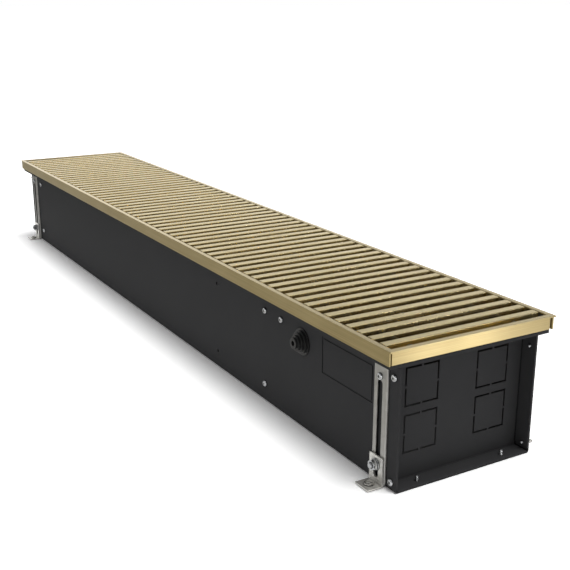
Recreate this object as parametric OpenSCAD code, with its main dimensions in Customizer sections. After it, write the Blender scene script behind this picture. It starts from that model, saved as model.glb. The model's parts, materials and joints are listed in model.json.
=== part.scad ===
// Fan-assisted trench convector heater. A long sheet-steel trough is let into the floor and
// holds a finned copper heat exchanger and a cross-flow fan under a lift-out bar grille.
// X runs along the trough, with the pipe and cable end at +X. The room side with the cable
// entry is -Y. Z is up, and the origin is the middle of the trough's underside.

/* [Overall size] */
// Length over the frame lip
length = 1600; // [1400:10:2000]
// Height from the underside to the top of the frame
height = 200; // [192:1:240]
// Width over the trough's side walls
casing_w = 230; // [226:1:290]

/* [Sheet metal] */
// Thickness of the casing sheet
sheet = 1.5; // [1:0.1:2]
// Bend radius of a folded sheet, at its mid-line
bend_r = 2; // [1.5:0.1:3]
// Gap left between two sheets that lie on each other
fit = 0.1; // [0.05:0.01:0.2]

/* [Trough] */
// How far the top flange stands out from the side wall
flange_out = 18; // [14:0.5:24]
// How far the flange's edge folds down
flange_drop = 6; // [4:0.5:10]
// Length of the engraved pipe knock-out in the room side
side_knock_w = 118; // [80:1:130]
// Height of that knock-out
side_knock_h = 51; // [30:1:56]
// Its middle, measured back from the pipe end
side_knock_inset = 116; // [100:1:125]
// Its upper edge, measured down from the trough's top
side_knock_drop = 23; // [16:0.5:40]
// Width of its scored line
score_w = 2.8; // [1:0.1:4]
// Depth of its scored line
score_depth = 0.7; // [0.3:0.1:0.9]
// Radius of the two spare fixing holes in each side
spare_hole_r = 2.75; // [2:0.25:4]
// The spare holes' distance back from the pipe end
spare_hole_inset = 503; // [420:1:560]

/* [End panels] */
// How far each end panel sits back from the trough's end
recess = 25; // [20:1:32]
// Width of the slot cut round it
knock_slot = 2.6; // [1.5:0.1:3]
// Length of the tabs that hold it
knock_tab = 3; // [2:0.5:6]
// Distance of the knock-outs from the middle
knock_y = 59.5; // [50:0.5:70]
// Height of the lower pair's lower edges
knock_foot = 39.35; // [20:0.05:45]
// Web left between the lower and the upper pair
knock_web = 13.5; // [8:0.5:20]
// The upper pair's upper edges, measured down from the trough's top
knock_drop = 22.15; // [14:0.05:30]
// Distance of the end panel's screws from the trough's end
end_screw_inset = 10.5; // [8:0.5:14]
// Height of the lower side screws
end_screw_low = 12; // [10:0.5:20]
// The upper side screws, measured down from the trough's top
end_screw_drop = 24; // [16:0.5:40]
// Distance from the middle to the screws in the floor
end_stud_y = 73; // [50:1:95]

/* [Frame] */
// Height of the frame profile
frame_h = 20; // [18:0.5:26]
// Thickness of its wall
frame_wall = 2.2; // [1.6:0.1:3]
// Thickness of its lip
lip_t = 2; // [1.5:0.1:2.5]
// Width of the lip along the long sides
lip_w = 7.75; // [7:0.25:9]
// Width of the lip across the ends
lip_end_w = 9; // [8:0.5:11]
// How far the lip stands out from the long walls
lip_over = 0.8; // [0.4:0.1:4]
// How far the lip stands out from the ends of the long walls
lip_over_end = 3.25; // [2:0.25:4]
// How far the wall stands out from the trough's flange
wall_over = 3.45; // [0.5:0.05:4]
// How far the wall stands out from the trough's end
wall_over_end = 4.75; // [3:0.25:6]
// Thickness of the ledge that carries the grille
ledge_t = 2; // [1.5:0.1:3]
// How far the ledge reaches in from the trough's outer face
ledge_in = 3; // [2:0.5:6]
// Gap at each corner between the long and the short wall
corner_gap = 3; // [2:0.25:4]
// How far the short wall is set back behind the ends of the long walls
short_wall_back = 1.3; // [0.5:0.1:2]
// Bevel on the frame's outer edges
lip_bevel = 0.4; // [0.2:0.05:0.6]
// Length of a corner key's arm
key_arm = 22; // [14:1:30]
// Thickness of a corner key
key_t = 1.2; // [0.8:0.1:1.6]
// Number of frame screws along each side
frame_screw_count = 6; // [4:1:10]

/* [Grille] */
// Number of bars
bar_count = 61; // [41:1:71]
// Width of a bar
bar_w = 11.8; // [8:0.1:13]
// Wall of the hollow bar
bar_wall = 1.4; // [1:0.1:2]
// Bevel along the bar's top edges
bar_bevel = 0.8; // [0.4:0.1:1.2]
// Gap from the frame lip to the first bar
bar_end_gap = 14.6; // [10:0.1:20]
// Play at the ends of a bar
bar_play = 2; // [1:0.25:3]
// How far the bars lie below the frame's top
grille_drop = 0.2; // [0:0.1:1]
// Thickness of the seal strip under the bars
seal_t = 1.2; // [0.8:0.1:2]
// Width of the seal strip
seal_w = 9; // [6:0.5:10]
// Radius of the spring cord that joins the bars
cord_r = 2.2; // [1.5:0.1:2.5]
// Radius of a spacer between two bars
spacer_r = 4.5; // [3.8:0.1:5]
// Distance of a spring cord from the ends of the bars
cord_inset = 40; // [30:1:60]
// Height of the spring cords above the underside of the bars
cord_up = 5.4; // [5.2:0.1:6]
// Length of the clip on a spring cord's end
clip_l = 4; // [3:0.5:6]

/* [Feet] */
// Width of a foot bracket and its rail
foot_w = 28.5; // [26:0.5:34]
// Distance of a foot's middle from the trough's end
foot_inset = 35.5; // [32:0.5:60]
// Depth of the rail
rail_depth = 3.6; // [3.4:0.1:5]
// Thickness of the rail's sheet
rail_t = 1.4; // [1:0.1:1.5]
// Height of the rail's lower end
rail_low = 3; // [2:0.5:5]
// Gap between the flange's lower edge and the rail's upper end
rail_gap = 4.3; // [1.5:0.1:8]
// Height of the lower end of the rail's slot
slot_low = 8; // [6:0.5:10]
// The slot's upper end, measured down from the trough's top
slot_drop = 34.5; // [34:0.5:60]
// Width of the slots
slot_w = 10.4; // [9:0.1:11]
// The screw that holds the rail, measured down from the trough's top
rail_screw_drop = 29.5; // [20:0.5:31]
// Thickness of a foot bracket
foot_t = 2.5; // [2:0.1:3]
// Height of a foot bracket
foot_h = 41; // [39:1:46]
// How far the feet reach out from the trough's wall
foot_out = 28.5; // [26:0.5:40]
// Height of the clamp bolt
clamp_z = 28.5; // [26:0.5:30]
// Gap between the parts of a foot that slide on each other
slide_gap = 0.3; // [0.25:0.05:0.35]
// Radius of the clamp bolt
clamp_r = 4; // [3:0.25:4.2]
// Side of the clamp bolt's flat head
clamp_head = 17; // [14:0.5:20]
// Thickness of that head
clamp_head_t = 1.6; // [1.2:0.1:1.7]
// Width across the clamp nut's flats
nut_af = 13; // [10:0.5:14]
// Thickness of the clamp nut
nut_t = 6.5; // [5:0.5:8]
// How far the bolt stands out of its nut
bolt_end = 2.5; // [1:0.5:4]
// Radius of the washer
washer_r = 8; // [7.5:0.25:9]
// Thickness of the washer
washer_t = 1.6; // [1:0.1:2]
// Distance of the floor anchor hole from the foot's outer edge
anchor_inset = 12; // [9:0.5:13]
// Radius of the bore in the anchor bush
anchor_r = 4.2; // [3.2:0.1:4.5]
// Width across the anchor bush's flats
bush_af = 12.5; // [11.5:0.5:14]
// Height of the anchor bush above its plate
bush_up = 2.4; // [2:0.2:5]
// Wall of the anchor bush in its plate
bush_wall = 1; // [0.6:0.1:1.2]

/* [Screws] */
// Radius of a pan head
head_r = 5; // [4:0.25:5.5]
// Height of a pan head
head_h = 3.2; // [2.4:0.1:4]
// Radius of a screw's shank
shank_r = 2.4; // [1.8:0.1:2.5]
// How far a screw's tip stands in the trough
tip = 3.4; // [2:0.2:5]
// How far the floor screws stand up in the end recess
stud_up = 7.5; // [5:0.5:9]
// Depth of the cross recess in a head
cross_depth = 1.6; // [0.8:0.1:2]
// Width of that recess
cross_w = 1.1; // [0.8:0.1:1.4]

/* [Cable entry] */
// Gap between its inner collar and the terminal box
grommet_gap = 5; // [1:0.5:12]
// Its middle, measured down from the trough's top
grommet_drop = 46.5; // [40:0.5:70]
// Radius of the hole in the trough's wall
grommet_hole_r = 16; // [13:0.5:17]
// Radius of the outer collar
grommet_r = 20; // [18.5:0.5:22]
// Number of steps outside the collar
grommet_steps = 4; // [3:1:5]
// Length of one step
grommet_step = 3.6; // [2.5:0.1:4]
// Radius of the cable's bore
cable_r = 4; // [3:0.25:4.5]

/* [Supports] */
// The near support's screws, measured back from the pipe end
near_support_inset = 338; // [320:1:380]
// The far support's screws, measured in from the far end
far_support_inset = 81; // [70:1:100]
// Width of a support's flange
support_flange = 16; // [14:0.5:20]
// Height of the lower support screws
support_screw_low = 29; // [24:0.5:34]
// The upper support screws, measured down from the trough's top
support_screw_drop = 31; // [28:0.5:40]
// How far the supports stay below the trough's top
support_drop = 14; // [12:0.5:16]

/* [Heat exchanger] */
// Radius of a copper tube
tube_r = 6; // [5:0.25:6.5]
// Wall of a copper tube
tube_wall = 0.8; // [0.5:0.1:1.2]
// Distance between the two columns of tubes
column_pitch = 33; // [28:0.5:34]
// Distance between fins
fin_pitch = 6; // [5:0.5:12]
// Thickness of a fin
fin_t = 0.4; // [0.3:0.1:0.6]
// Fin material beyond the outer tubes' middles
fin_edge = 14; // [12:0.5:15]
// Thickness of a fin's collar round a tube
collar_t = 0.5; // [0.4:0.1:0.8]
// Distance from the end fins to the supports
fin_end_gap = 10; // [6:1:16]
// How far the tubes stand out beyond a support
tube_out = 14; // [10:1:18]
// Radius of the thread bore in a pipe socket
socket_bore_r = 9.3; // [8:0.1:9.5]
// Depth of that bore
socket_bore = 14; // [10:0.5:16]
// Width across a pipe socket's flats
socket_af = 25; // [24:0.5:27]
// Length of a pipe socket
socket_l = 24; // [22:0.5:28]
// Radius of the air vent's body
vent_r = 5; // [4.5:0.25:6]
// Height of the air vent's body
vent_h = 12; // [9:0.5:14]
// Radius of the air vent's screw
vent_screw_r = 2.5; // [2:0.1:3]
// Radius of the knob on that screw
vent_knob_r = 4; // [3.5:0.1:4.5]
// Height of that knob
vent_knob_h = 3; // [2:0.5:4]

/* [Fan] */
// Height of the fan's axis
fan_z = 70; // [66:0.5:76]
// Distance of the fan's axis from the middle
fan_y = 58; // [55:0.5:62]
// Outer radius of a fan wheel
wheel_r = 32; // [28:0.5:33]
// Width of its ring of blades
blade_ring = 8; // [6:0.5:9]
// Number of blades
blade_count = 24; // [18:1:28]
// Thickness of a blade
blade_t = 0.8; // [0.6:0.1:1]
// Distance between a wheel's discs
disc_pitch = 100; // [80:5:140]
// Thickness of a disc
disc_t = 1.6; // [1.2:0.1:2.4]
// Radius of a wheel's hub
hub_r = 9; // [8:0.5:11]
// Length of a wheel's hub
hub_l = 14; // [10:1:18]
// Radius of the fan shaft
shaft_r = 4; // [3:0.25:4.5]
// Gap from the wheel to the air guide
guide_gap = 4; // [3:0.5:5]
// Thickness of the air guide's sheet
guide_t = 1; // [0.8:0.1:1.2]
// Radius of the motor
motor_r = 28; // [26:0.5:29]
// Length of the motor
motor_l = 84; // [70:1:100]
// Wall of the motor's can
motor_wall = 2; // [1.5:0.1:3]
// Gap from the motor to a fan wheel
wheel_gap = 12; // [8:1:16]
// Radius of a bearing bush
bush_r = 7.5; // [6.5:0.25:8]
// Radius of a bearing's rubber seat
seat_r = 12; // [11:0.25:14]
// Length of a bearing's rubber seat
seat_l = 9; // [7:0.5:10]
// Running clearance of a shaft in its bearing
run_gap = 0.05; // [0.02:0.01:0.08]

/* [Electrics] */
// Distance of the terminal box's screw from the near support's screws
box_screw_out = 49; // [44:1:56]
// Length of the terminal box
box_l = 74; // [60:1:76]
// Depth of the terminal box
box_d = 32; // [26:1:33]
// Height of the terminal box
box_h = 46; // [40:1:50]
// Wall of the terminal box
box_wall = 2; // [1.5:0.1:3]
// Thickness of its lid
box_lid_t = 2.4; // [2:0.1:4]
// Number of terminals
pole_count = 5; // [3:1:5]
// Radius of the motor's lead
lead_r = 3; // [2.5:0.1:3.2]

/* [Hidden] */
$fn = 32;

// Overrun of a cut past the face it starts from
cut = 1;
// Straight steps in one sheet bend
bend_steps = 4;

// Trough
casing_l = length - 2 * (lip_over_end + wall_over_end);
casing_h = height - frame_h;
half_l = casing_l / 2;
half_w = casing_w / 2;
inner_w = half_w - sheet;
floor_z = sheet + fit;
support_screw_high = casing_h - support_screw_drop;
spare_z = [support_screw_low, support_screw_high];
end_screw_z = [end_screw_low, casing_h - end_screw_drop];
side_knock_z = casing_h - side_knock_drop - side_knock_h / 2;

// Square pipe knock-outs, which share the height that their margins leave
knock = (casing_h - knock_foot - knock_web - knock_drop) / 2;
knock_low = knock_foot + knock / 2;
knock_high = casing_h - knock_drop - knock / 2;

// Frame
wall_y = half_w + flange_out + wall_over;
lip_y = wall_y + lip_over;
wall_x = half_l + wall_over_end;
short_x = wall_x - short_wall_back;
ledge_y = half_w - ledge_in;
ledge_x = half_l - recess - ledge_in;
ledge_top = casing_h + ledge_t;
short_half = wall_y - frame_wall - corner_gap;
frame_screw_y = half_w + flange_out / 2;

// Grille
bar_bottom = ledge_top + seal_t;
bar_top = height - grille_drop;
bar_l = 2 * (lip_y - lip_w - bar_play);
first_bar = length / 2 - lip_end_w - bar_end_gap - bar_w / 2;
bar_pitch = 2 * first_bar / (bar_count - 1);
bar_gap = bar_pitch - bar_w;
cord_y = bar_l / 2 - cord_inset;
cord_z = bar_bottom + cord_up;

// Feet
foot_x = half_l - foot_inset;
rail_face = half_w + rail_depth;
foot_face = rail_face + slide_gap;
foot_edge = half_w + foot_out;
anchor_y = foot_edge - anchor_inset;
rail_high = casing_h - flange_drop - rail_gap;
slot_high = casing_h - slot_drop;
rail_screw_z = casing_h - rail_screw_drop;
head_gap = (rail_depth - rail_t - clamp_head_t) / 2;

// Supports, with the motor half way between them
near_support_x = half_l - near_support_inset;
far_support_x = -half_l + far_support_inset;
near_web_x = near_support_x - support_flange / 2;
far_web_x = far_support_x + support_flange / 2;
support_top = casing_h - support_drop;
support_low = sheet + bend_r;
motor_x = (near_web_x + far_web_x) / 2;

// Heat exchanger, lined up with the knock-outs in the near end
tube_rows = 4;
tube_pitch = (knock_high - knock_low) / (tube_rows - 1);
tube_y = [-knock_y, -knock_y + column_pitch];
tube_z = [for (i = [0 : tube_rows - 1]) knock_low + i * tube_pitch];
fin_near = near_web_x - sheet - fin_end_gap;
fin_far = far_web_x + sheet + fin_end_gap;
fin_count = floor((fin_near - fin_far) / fin_pitch);
fin_start = (fin_near + fin_far - fin_count * fin_pitch) / 2;
fin_low_y = tube_y[0] - fin_edge;
fin_high_y = tube_y[1] + fin_edge;
fin_low_z = knock_low - fin_edge;
fin_high_z = knock_high + fin_edge;
tube_near = near_web_x + tube_out;
tube_far = far_web_x - tube_out;
socket_x = tube_near + tube_pitch / 2 + tube_r;
vent_x = socket_x + socket_l / 2;
vent_z = knock_high + socket_af / 2;

// Fan
guide_r = wheel_r + guide_gap;
guide_angles = [250, 415];
guide_lap = 1;
blade_angles = [40, 130];
wheel_start = motor_l / 2 + wheel_gap;
wheel_l = (near_web_x - far_web_x) / 2 - wheel_start - seat_l - sheet;
disc_count = floor(wheel_l / disc_pitch);
guide_floor_y = fin_high_y + guide_gap + 2 * lead_r;
guide_floor_z = fan_z + guide_r * sin(guide_angles[0]);
divider_y = fin_high_y + guide_gap / 2;
saddle_w = 2 * (inner_w - fan_y - guide_gap);
saddle_count = 4;
saddle_span = near_web_x - far_web_x - 2 * disc_pitch;

// Terminal box beside the cable entry
box_x = near_support_x + support_flange / 2 + 2 * box_wall;
box_y = -inner_w + fit;
grommet_x = box_x + box_l + grommet_gap + grommet_hole_r + sheet;
grommet_z = casing_h - grommet_drop;
box_z = grommet_z - box_h / 2;
box_screw_x = near_support_x + box_screw_out;

// Square-cornered unit vectors and the rounded corners of a folded sheet
function unit(v) = v / norm(v);
function left(v) = [-v.y, v.x];
function turned(v, a) = [v.x * cos(a) - v.y * sin(a), v.x * sin(a) + v.y * cos(a)];
function turn_between(a, b) = atan2(a.x * b.y - a.y * b.x, a * b);
function bend_side(p, i, s) =
    let(a = unit(p[i] - p[i - 1]), b = unit(p[i + 1] - p[i]))
    let(t = turn_between(a, b), side = sign(t))
    let(start = p[i] - a * bend_r * tan(abs(t) / 2), centre = start + side * bend_r * left(a))
    [for (k = [0 : bend_steps]) centre - side * (bend_r - side * s) * left(turned(a, t * k / bend_steps))];
function sheet_side(p, s) =
    let(n = len(p) - 1)
    concat(
        [p[0] + s * left(unit(p[1] - p[0]))],
        [for (i = [1 : n - 1]) each bend_side(p, i, s)],
        [p[n] + s * left(unit(p[n] - p[n - 1]))]
    );
function backwards(p) = [for (i = [len(p) - 1 : -1 : 0]) p[i]];
function arc(c, r, a0, a1, n) =
    [for (i = [0 : n]) c + r * [cos(a0 + (a1 - a0) * i / n), sin(a0 + (a1 - a0) * i / n)]];

// A sheet of thickness t folded along the mid-line path p
module folded(p, t) {
    polygon(concat(sheet_side(p, t / 2), backwards(sheet_side(p, -t / 2))));
}

// Extrusions along X of a Y-Z outline, and along Y of an X-Z outline
module along_x(x0, x1) {
    translate([x0, 0, 0]) rotate([90, 0, 90]) linear_extrude(x1 - x0) children();
}
module along_y(y0, y1) {
    translate([0, y1, 0]) rotate([90, 0, 0]) linear_extrude(y1 - y0) children();
}
module block(low, high) {
    translate(low) cube(high - low);
}

// A cylinder along X or Y that starts at a point
module rod_x(p, r, l) {
    translate(p) rotate([0, 90, 0]) cylinder(r = r, h = l);
}
module rod_y(p, r, l) {
    translate(p) rotate([-90, 0, 0]) cylinder(r = r, h = l);
}
module rod_z(p, r, l) {
    translate(p) cylinder(r = r, h = l);
}
module pipe_x(p, r, wall, l) {
    difference() {
        rod_x(p, r, l);
        rod_x(p - [cut, 0, 0], r - wall, l + 2 * cut);
    }
}

// Both long sides, and both ends
module both_sides() {
    children();
    mirror([0, 1, 0]) children();
}
module both_ends() {
    children();
    mirror([1, 0, 0]) children();
}

// A pan-head screw whose head sits on z = 0 and whose shank points down
module pan_screw(shank) {
    difference() {
        rotate_extrude() polygon(concat(
            [[0, 0], [head_r, 0]],
            arc([head_r - head_h * 0.8, head_h * 0.2], head_h * 0.8, 0, 90, 5),
            [[0, head_h]]
        ));
        for (a = [0, 90]) rotate([0, 0, a]) translate([-head_r / 2, -cross_w / 2, head_h - cross_depth])
            cube([head_r, cross_w, cross_depth + cut]);
    }
    translate([0, 0, -shank]) cylinder(r = shank_r, h = shank);
}
module side_screw(x, z, shank) {
    translate([x, -half_w, z]) rotate([90, 0, 0]) pan_screw(shank);
}
module side_bore(x, z, r) {
    rod_y([x, -half_w - cut, z], r, sheet + 2 * cut);
}

// Trough: one folded sheet with its flanges
module trough_section() {
    m = half_w - sheet / 2;
    f = half_w + flange_out - sheet / 2;
    top = casing_h - sheet / 2;
    folded([[-f, casing_h - flange_drop], [-f, top], [-m, top], [-m, sheet / 2],
        [m, sheet / 2], [m, top], [f, top], [f, casing_h - flange_drop]], sheet);
}
module side_knock_score() {
    x = half_l - side_knock_inset;
    difference() {
        translate([x, -half_w, side_knock_z])
            cube([side_knock_w + score_w, 2 * score_depth, side_knock_h + score_w], center = true);
        translate([x, -half_w, side_knock_z])
            cube([side_knock_w - score_w, 2 * score_depth + cut, side_knock_h - score_w], center = true);
    }
}
module trough() {
    color([0.13, 0.13, 0.14]) difference() {
        along_x(-half_l, half_l) trough_section();
        side_knock_score();
        side_bore(grommet_x, grommet_z, grommet_hole_r);
        side_bore(box_screw_x, support_screw_high, shank_r + fit);
        both_sides() {
            both_ends() {
                for (z = end_screw_z) side_bore(half_l - end_screw_inset, z, shank_r + fit);
                side_bore(foot_x, rail_screw_z, shank_r + fit);
                translate([half_l - end_screw_inset, end_stud_y, 0])
                    stud(stud_head_r + fit, shank_r + fit, cut);
            }
            for (z = spare_z) {
                side_bore(half_l - spare_hole_inset, z, spare_hole_r);
                side_bore(near_support_x, z, shank_r + fit);
                side_bore(far_support_x, z, shank_r + fit);
            }
            for (x = frame_screw_x)
                rod_z([x, frame_screw_y, casing_h - sheet - cut], frame_shank_r + fit, sheet + 2 * cut);
        }
    }
}

// End panel: a pan whose flanges point outwards, with four square pipe knock-outs and a lip
// that folds down over the ends of the trough's flanges
module knock_out(y, z) {
    outer = knock + knock_slot;
    inner = knock - knock_slot;
    translate([half_l - recess - sheet / 2, y, z]) difference() {
        cube([sheet + 2 * cut, outer, outer], center = true);
        cube([sheet + 4 * cut, inner, inner], center = true);
        cube([sheet + 4 * cut, knock_tab, 2 * knock], center = true);
        cube([sheet + 4 * cut, 2 * knock, knock_tab], center = true);
    }
}
module end_panel() {
    web = half_l - recess - sheet / 2;
    low = floor_z + sheet / 2;
    top = casing_h - sheet / 2;
    edge = inner_w - fit;
    relief = 2 * bend_r + sheet;
    lip_front = half_l + fit + sheet;
    color([0.15, 0.15, 0.16]) difference() {
        union() {
            along_y(-edge, edge) folded([[half_l, low], [web, low], [web, top],
                [lip_front - sheet / 2, top], [lip_front - sheet / 2, casing_h - flange_drop]], sheet);
            both_sides() {
                block([web - sheet / 2, edge - sheet, low + relief], [half_l, edge, top - relief]);
                block([lip_front - sheet, edge - sheet, casing_h - flange_drop],
                    [lip_front, half_w + flange_out, casing_h]);
            }
        }
        both_sides() block([web - sheet, edge - sheet, 0], [half_l + cut, edge + cut, low + relief]);
        for (y = [-knock_y, knock_y], z = [knock_low, knock_high]) knock_out(y, z);
        both_sides() {
            for (z = end_screw_z) side_bore_deep(half_l - end_screw_inset, z);
            rod_z([half_l - end_screw_inset, end_stud_y, floor_z - cut], shank_r + fit, sheet + 2 * cut);
        }
    }
}
module side_bore_deep(x, z) {
    rod_y([x, -half_w - cut, z], shank_r + fit, 2 * (sheet + cut) + fit);
}
module end_screws() {
    color([0.75, 0.76, 0.78]) both_sides() both_ends() for (z = end_screw_z)
        side_screw(half_l - end_screw_inset, z, 2 * sheet + fit + tip);
}

// Countersunk screw that comes up through the floor of the trough
stud_head_r = shank_r + sheet;
stud_top = floor_z + sheet + stud_up;
module stud(head, shank, run) {
    translate([0, 0, -run]) cylinder(r = head + run, h = run);
    cylinder(r1 = head, r2 = shank, h = head - shank);
    cylinder(r = shank, h = stud_top);
}
module end_studs() {
    color([0.75, 0.76, 0.78]) both_sides() both_ends()
        translate([half_l - end_screw_inset, end_stud_y, 0]) rotate_extrude() polygon([
            [0, 0], [stud_head_r, 0], [shank_r, stud_head_r - shank_r],
            [shank_r, stud_top - shank_r / 4], [shank_r * 3 / 4, stud_top], [0, stud_top]]);
}

// Frame: four extruded profiles with a wall, a lip and a ledge
brass = [0.76, 0.68, 0.47];
frame_shank_r = shank_r * 2 / 3;
frame_head_r = 2 * frame_shank_r;
frame_sink = frame_head_r - frame_shank_r;
frame_screw_end = foot_x - foot_w;
frame_screw_x = [for (i = [0 : frame_screw_count - 1])
    (i / (frame_screw_count - 1) - 1 / 2) * 2 * frame_screw_end];
module lip_section(out, in) {
    polygon([[in, height - lip_t], [out, height - lip_t], [out, height - lip_bevel],
        [out - lip_bevel, height],
        [in + lip_bevel, height], [in, height - lip_bevel]]);
}
module frame_long() {
    color(brass) difference() {
        union() {
            along_x(-wall_x, wall_x) polygon([[wall_y - frame_wall, casing_h], [wall_y, casing_h],
                [wall_y, height - lip_t], [wall_y - frame_wall, height - lip_t]]);
            along_x(fit + frame_wall - short_x, short_x - frame_wall - fit) polygon([[ledge_y, casing_h],
                [wall_y - frame_wall / 2, casing_h], [wall_y - frame_wall / 2, ledge_top],
                [ledge_y, ledge_top]]);
            intersection() {
                along_x(-length / 2, length / 2) lip_section(lip_y, lip_y - lip_w);
                translate([0, 0, height - lip_t - cut]) linear_extrude(lip_t + 2 * cut) polygon([
                    [-length / 2, lip_y], [length / 2, lip_y],
                    [length / 2 - lip_end_w, lip_y - lip_w], [lip_end_w - length / 2, lip_y - lip_w]]);
            }
        }
        for (x = frame_screw_x) {
            rod_z([x, frame_screw_y, casing_h - cut], frame_shank_r + fit, ledge_t + 2 * cut);
            translate([x, frame_screw_y, ledge_top - frame_sink])
                cylinder(r1 = frame_shank_r, r2 = frame_head_r + cut, h = frame_sink + cut);
        }
    }
}
module frame_short() {
    ledge_half = ledge_y - fit;
    color(brass) union() {
        along_y(-short_half, short_half) polygon([[short_x - frame_wall, casing_h], [short_x, casing_h],
            [short_x, height - lip_t], [short_x - frame_wall, height - lip_t]]);
        along_y(-ledge_half, ledge_half) polygon([[ledge_x, casing_h], [short_x - frame_wall / 2, casing_h],
            [short_x - frame_wall / 2, ledge_top], [ledge_x, ledge_top]]);
        intersection() {
            along_y(-lip_y, lip_y) lip_section(length / 2, length / 2 - lip_end_w);
            translate([0, 0, height - lip_t - cut]) linear_extrude(lip_t + 2 * cut) polygon([
                [length / 2, -lip_y + fit], [length / 2, lip_y - fit],
                [length / 2 - lip_end_w, lip_y - lip_w - fit],
                [length / 2 - lip_end_w, -lip_y + lip_w + fit]]);
        }
    }
}
module frame_back() {
    frame_long();
}
module frame_front() {
    mirror([0, 1, 0]) frame_long();
}
module frame_near() {
    frame_short();
}
module frame_far() {
    mirror([1, 0, 0]) frame_short();
}

// Corner keys: steel angles that lie inside the frame's corners
module frame_corner_keys() {
    x = short_x - frame_wall - fit;
    y = wall_y - frame_wall - fit;
    low = ledge_top + fit;
    high = height - lip_t - fit;
    color([0.7, 0.71, 0.73]) both_sides() both_ends() {
        block([x - key_arm, y - key_t, low], [x, y, high]);
        block([x - key_t, y - key_arm, low], [x, y, high]);
    }
}

// Countersunk screws that hold the frame to the trough's flanges
module frame_screws() {
    color([0.75, 0.76, 0.78]) both_sides() for (x = frame_screw_x) translate([x, frame_screw_y, ledge_top]) {
        translate([0, 0, -frame_sink]) cylinder(r1 = frame_shank_r, r2 = frame_head_r, h = frame_sink);
        translate([0, 0, -ledge_t - sheet - tip]) cylinder(r = frame_shank_r, h = ledge_t + sheet + tip);
    }
}

// Seal strips under the ends of the bars
module grille_seals() {
    edge = bar_l / 2;
    end = first_bar + bar_w / 2;
    color([0.06, 0.06, 0.06]) both_sides() block([-end, edge - seal_w, ledge_top], [end, edge, bar_bottom]);
}

// Grille: hollow bars on two spring cords, kept apart by spacers
module bar_section() {
    w = bar_w / 2;
    difference() {
        polygon([[-w, bar_bottom], [w, bar_bottom], [w, bar_top - bar_bevel], [w - bar_bevel, bar_top],
            [bar_bevel - w, bar_top], [-w, bar_top - bar_bevel]]);
        polygon([[bar_wall - w, bar_bottom + bar_wall], [w - bar_wall, bar_bottom + bar_wall],
            [w - bar_wall, bar_top - 2 * bar_wall], [bar_wall - w, bar_top - 2 * bar_wall]]);
    }
}
module bar() {
    difference() {
        along_y(-bar_l / 2, bar_l / 2) bar_section();
        for (y = [-cord_y, cord_y]) rod_x([-bar_w / 2 - cut, y, cord_z], cord_r + fit, bar_w + 2 * cut);
    }
}
module grille_bars() {
    color([0.8, 0.72, 0.52]) for (i = [0 : bar_count - 1]) translate([i * bar_pitch - first_bar, 0, 0]) bar();
}
module grille_spacers() {
    color([0.1, 0.1, 0.1]) for (i = [0 : bar_count - 2], y = [-cord_y, cord_y])
        pipe_x([i * bar_pitch - first_bar + bar_w / 2 + fit, y, cord_z],
            spacer_r, spacer_r - cord_r - fit, bar_gap - 2 * fit);
}
module grille_springs() {
    end = first_bar + bar_w / 2 + clip_l;
    color([0.7, 0.71, 0.72]) for (y = [-cord_y, cord_y]) rod_x([-end, y, cord_z], cord_r, 2 * end);
}
module grille_clips() {
    start = first_bar + bar_w / 2 + fit;
    color([0.7, 0.71, 0.72]) both_ends() for (y = [-cord_y, cord_y])
        pipe_x([start, y, cord_z], spacer_r, spacer_r - cord_r - fit, clip_l - fit);
}

// Feet: a slotted rail on the wall and an angle bracket clamped to it
module slot_cut(low, high, w, depth) {
    translate([-w / 2, -depth, low + w / 2]) cube([w, depth, high - low - w]);
    for (z = [low + w / 2, high - w / 2]) rod_y([0, -depth, z], w / 2, depth);
}
module rail() {
    e = foot_w / 2 - rail_t / 2;
    y = rail_face - rail_t / 2;
    difference() {
        translate([0, 0, rail_low]) linear_extrude(rail_high - rail_low)
            folded([[-e, -half_w], [-e, -y], [e, -y], [e, -half_w]], rail_t);
        translate([0, -half_w - rail_t, 0]) slot_cut(slot_low, slot_high, slot_w, rail_depth);
        rod_y([0, -rail_face - cut, rail_screw_z], shank_r + fit, rail_depth + cut);
    }
}
module foot_rails() {
    color([0.55, 0.56, 0.57]) both_sides() both_ends() translate([foot_x, 0, 0]) rail();
}
module rail_screws() {
    color([0.75, 0.76, 0.78]) both_sides() both_ends() translate([0, -rail_depth, 0])
        side_screw(foot_x, rail_screw_z, rail_depth + sheet + tip);
}
module foot_bracket() {
    y = foot_face + foot_t / 2;
    color([0.72, 0.73, 0.74]) difference() {
        along_x(-foot_w / 2, foot_w / 2)
            folded([[-foot_edge, foot_t / 2], [-y, foot_t / 2], [-y, foot_h]], foot_t);
        translate([0, -foot_face + cut, 0])
            slot_cut(bracket_slot_low, clamp_z + slot_w / 2, slot_w, foot_t + 2 * cut);
        rod_z([0, -anchor_y, -cut], anchor_r + bush_wall + fit, foot_t + 2 * cut);
    }
}
bracket_slot_low = foot_t + bend_r + slot_w / 2;
module foot_clamp() {
    head_y = half_w + head_gap;
    nut_y = foot_face + foot_t + washer_t;
    color([0.72, 0.72, 0.7]) {
        block([-clamp_head / 2, -head_y - clamp_head_t, clamp_z - clamp_head / 2],
            [clamp_head / 2, -head_y, clamp_z + clamp_head / 2]);
        rod_y([0, -nut_y - nut_t - bolt_end, clamp_z], clamp_r,
            nut_y + nut_t + bolt_end - head_y - clamp_head_t / 2);
        difference() {
            rod_y([0, -nut_y, clamp_z], washer_r, washer_t);
            rod_y([0, -nut_y - cut, clamp_z], clamp_r + fit, washer_t + 2 * cut);
        }
        difference() {
            translate([0, -nut_y - fit, clamp_z]) rotate([90, 0, 0])
                cylinder(r = nut_af / sqrt(3), h = nut_t - fit, $fn = 6);
            rod_y([0, -nut_y - nut_t - cut, clamp_z], clamp_r + fit, nut_t + 2 * cut);
        }
    }
}
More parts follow.
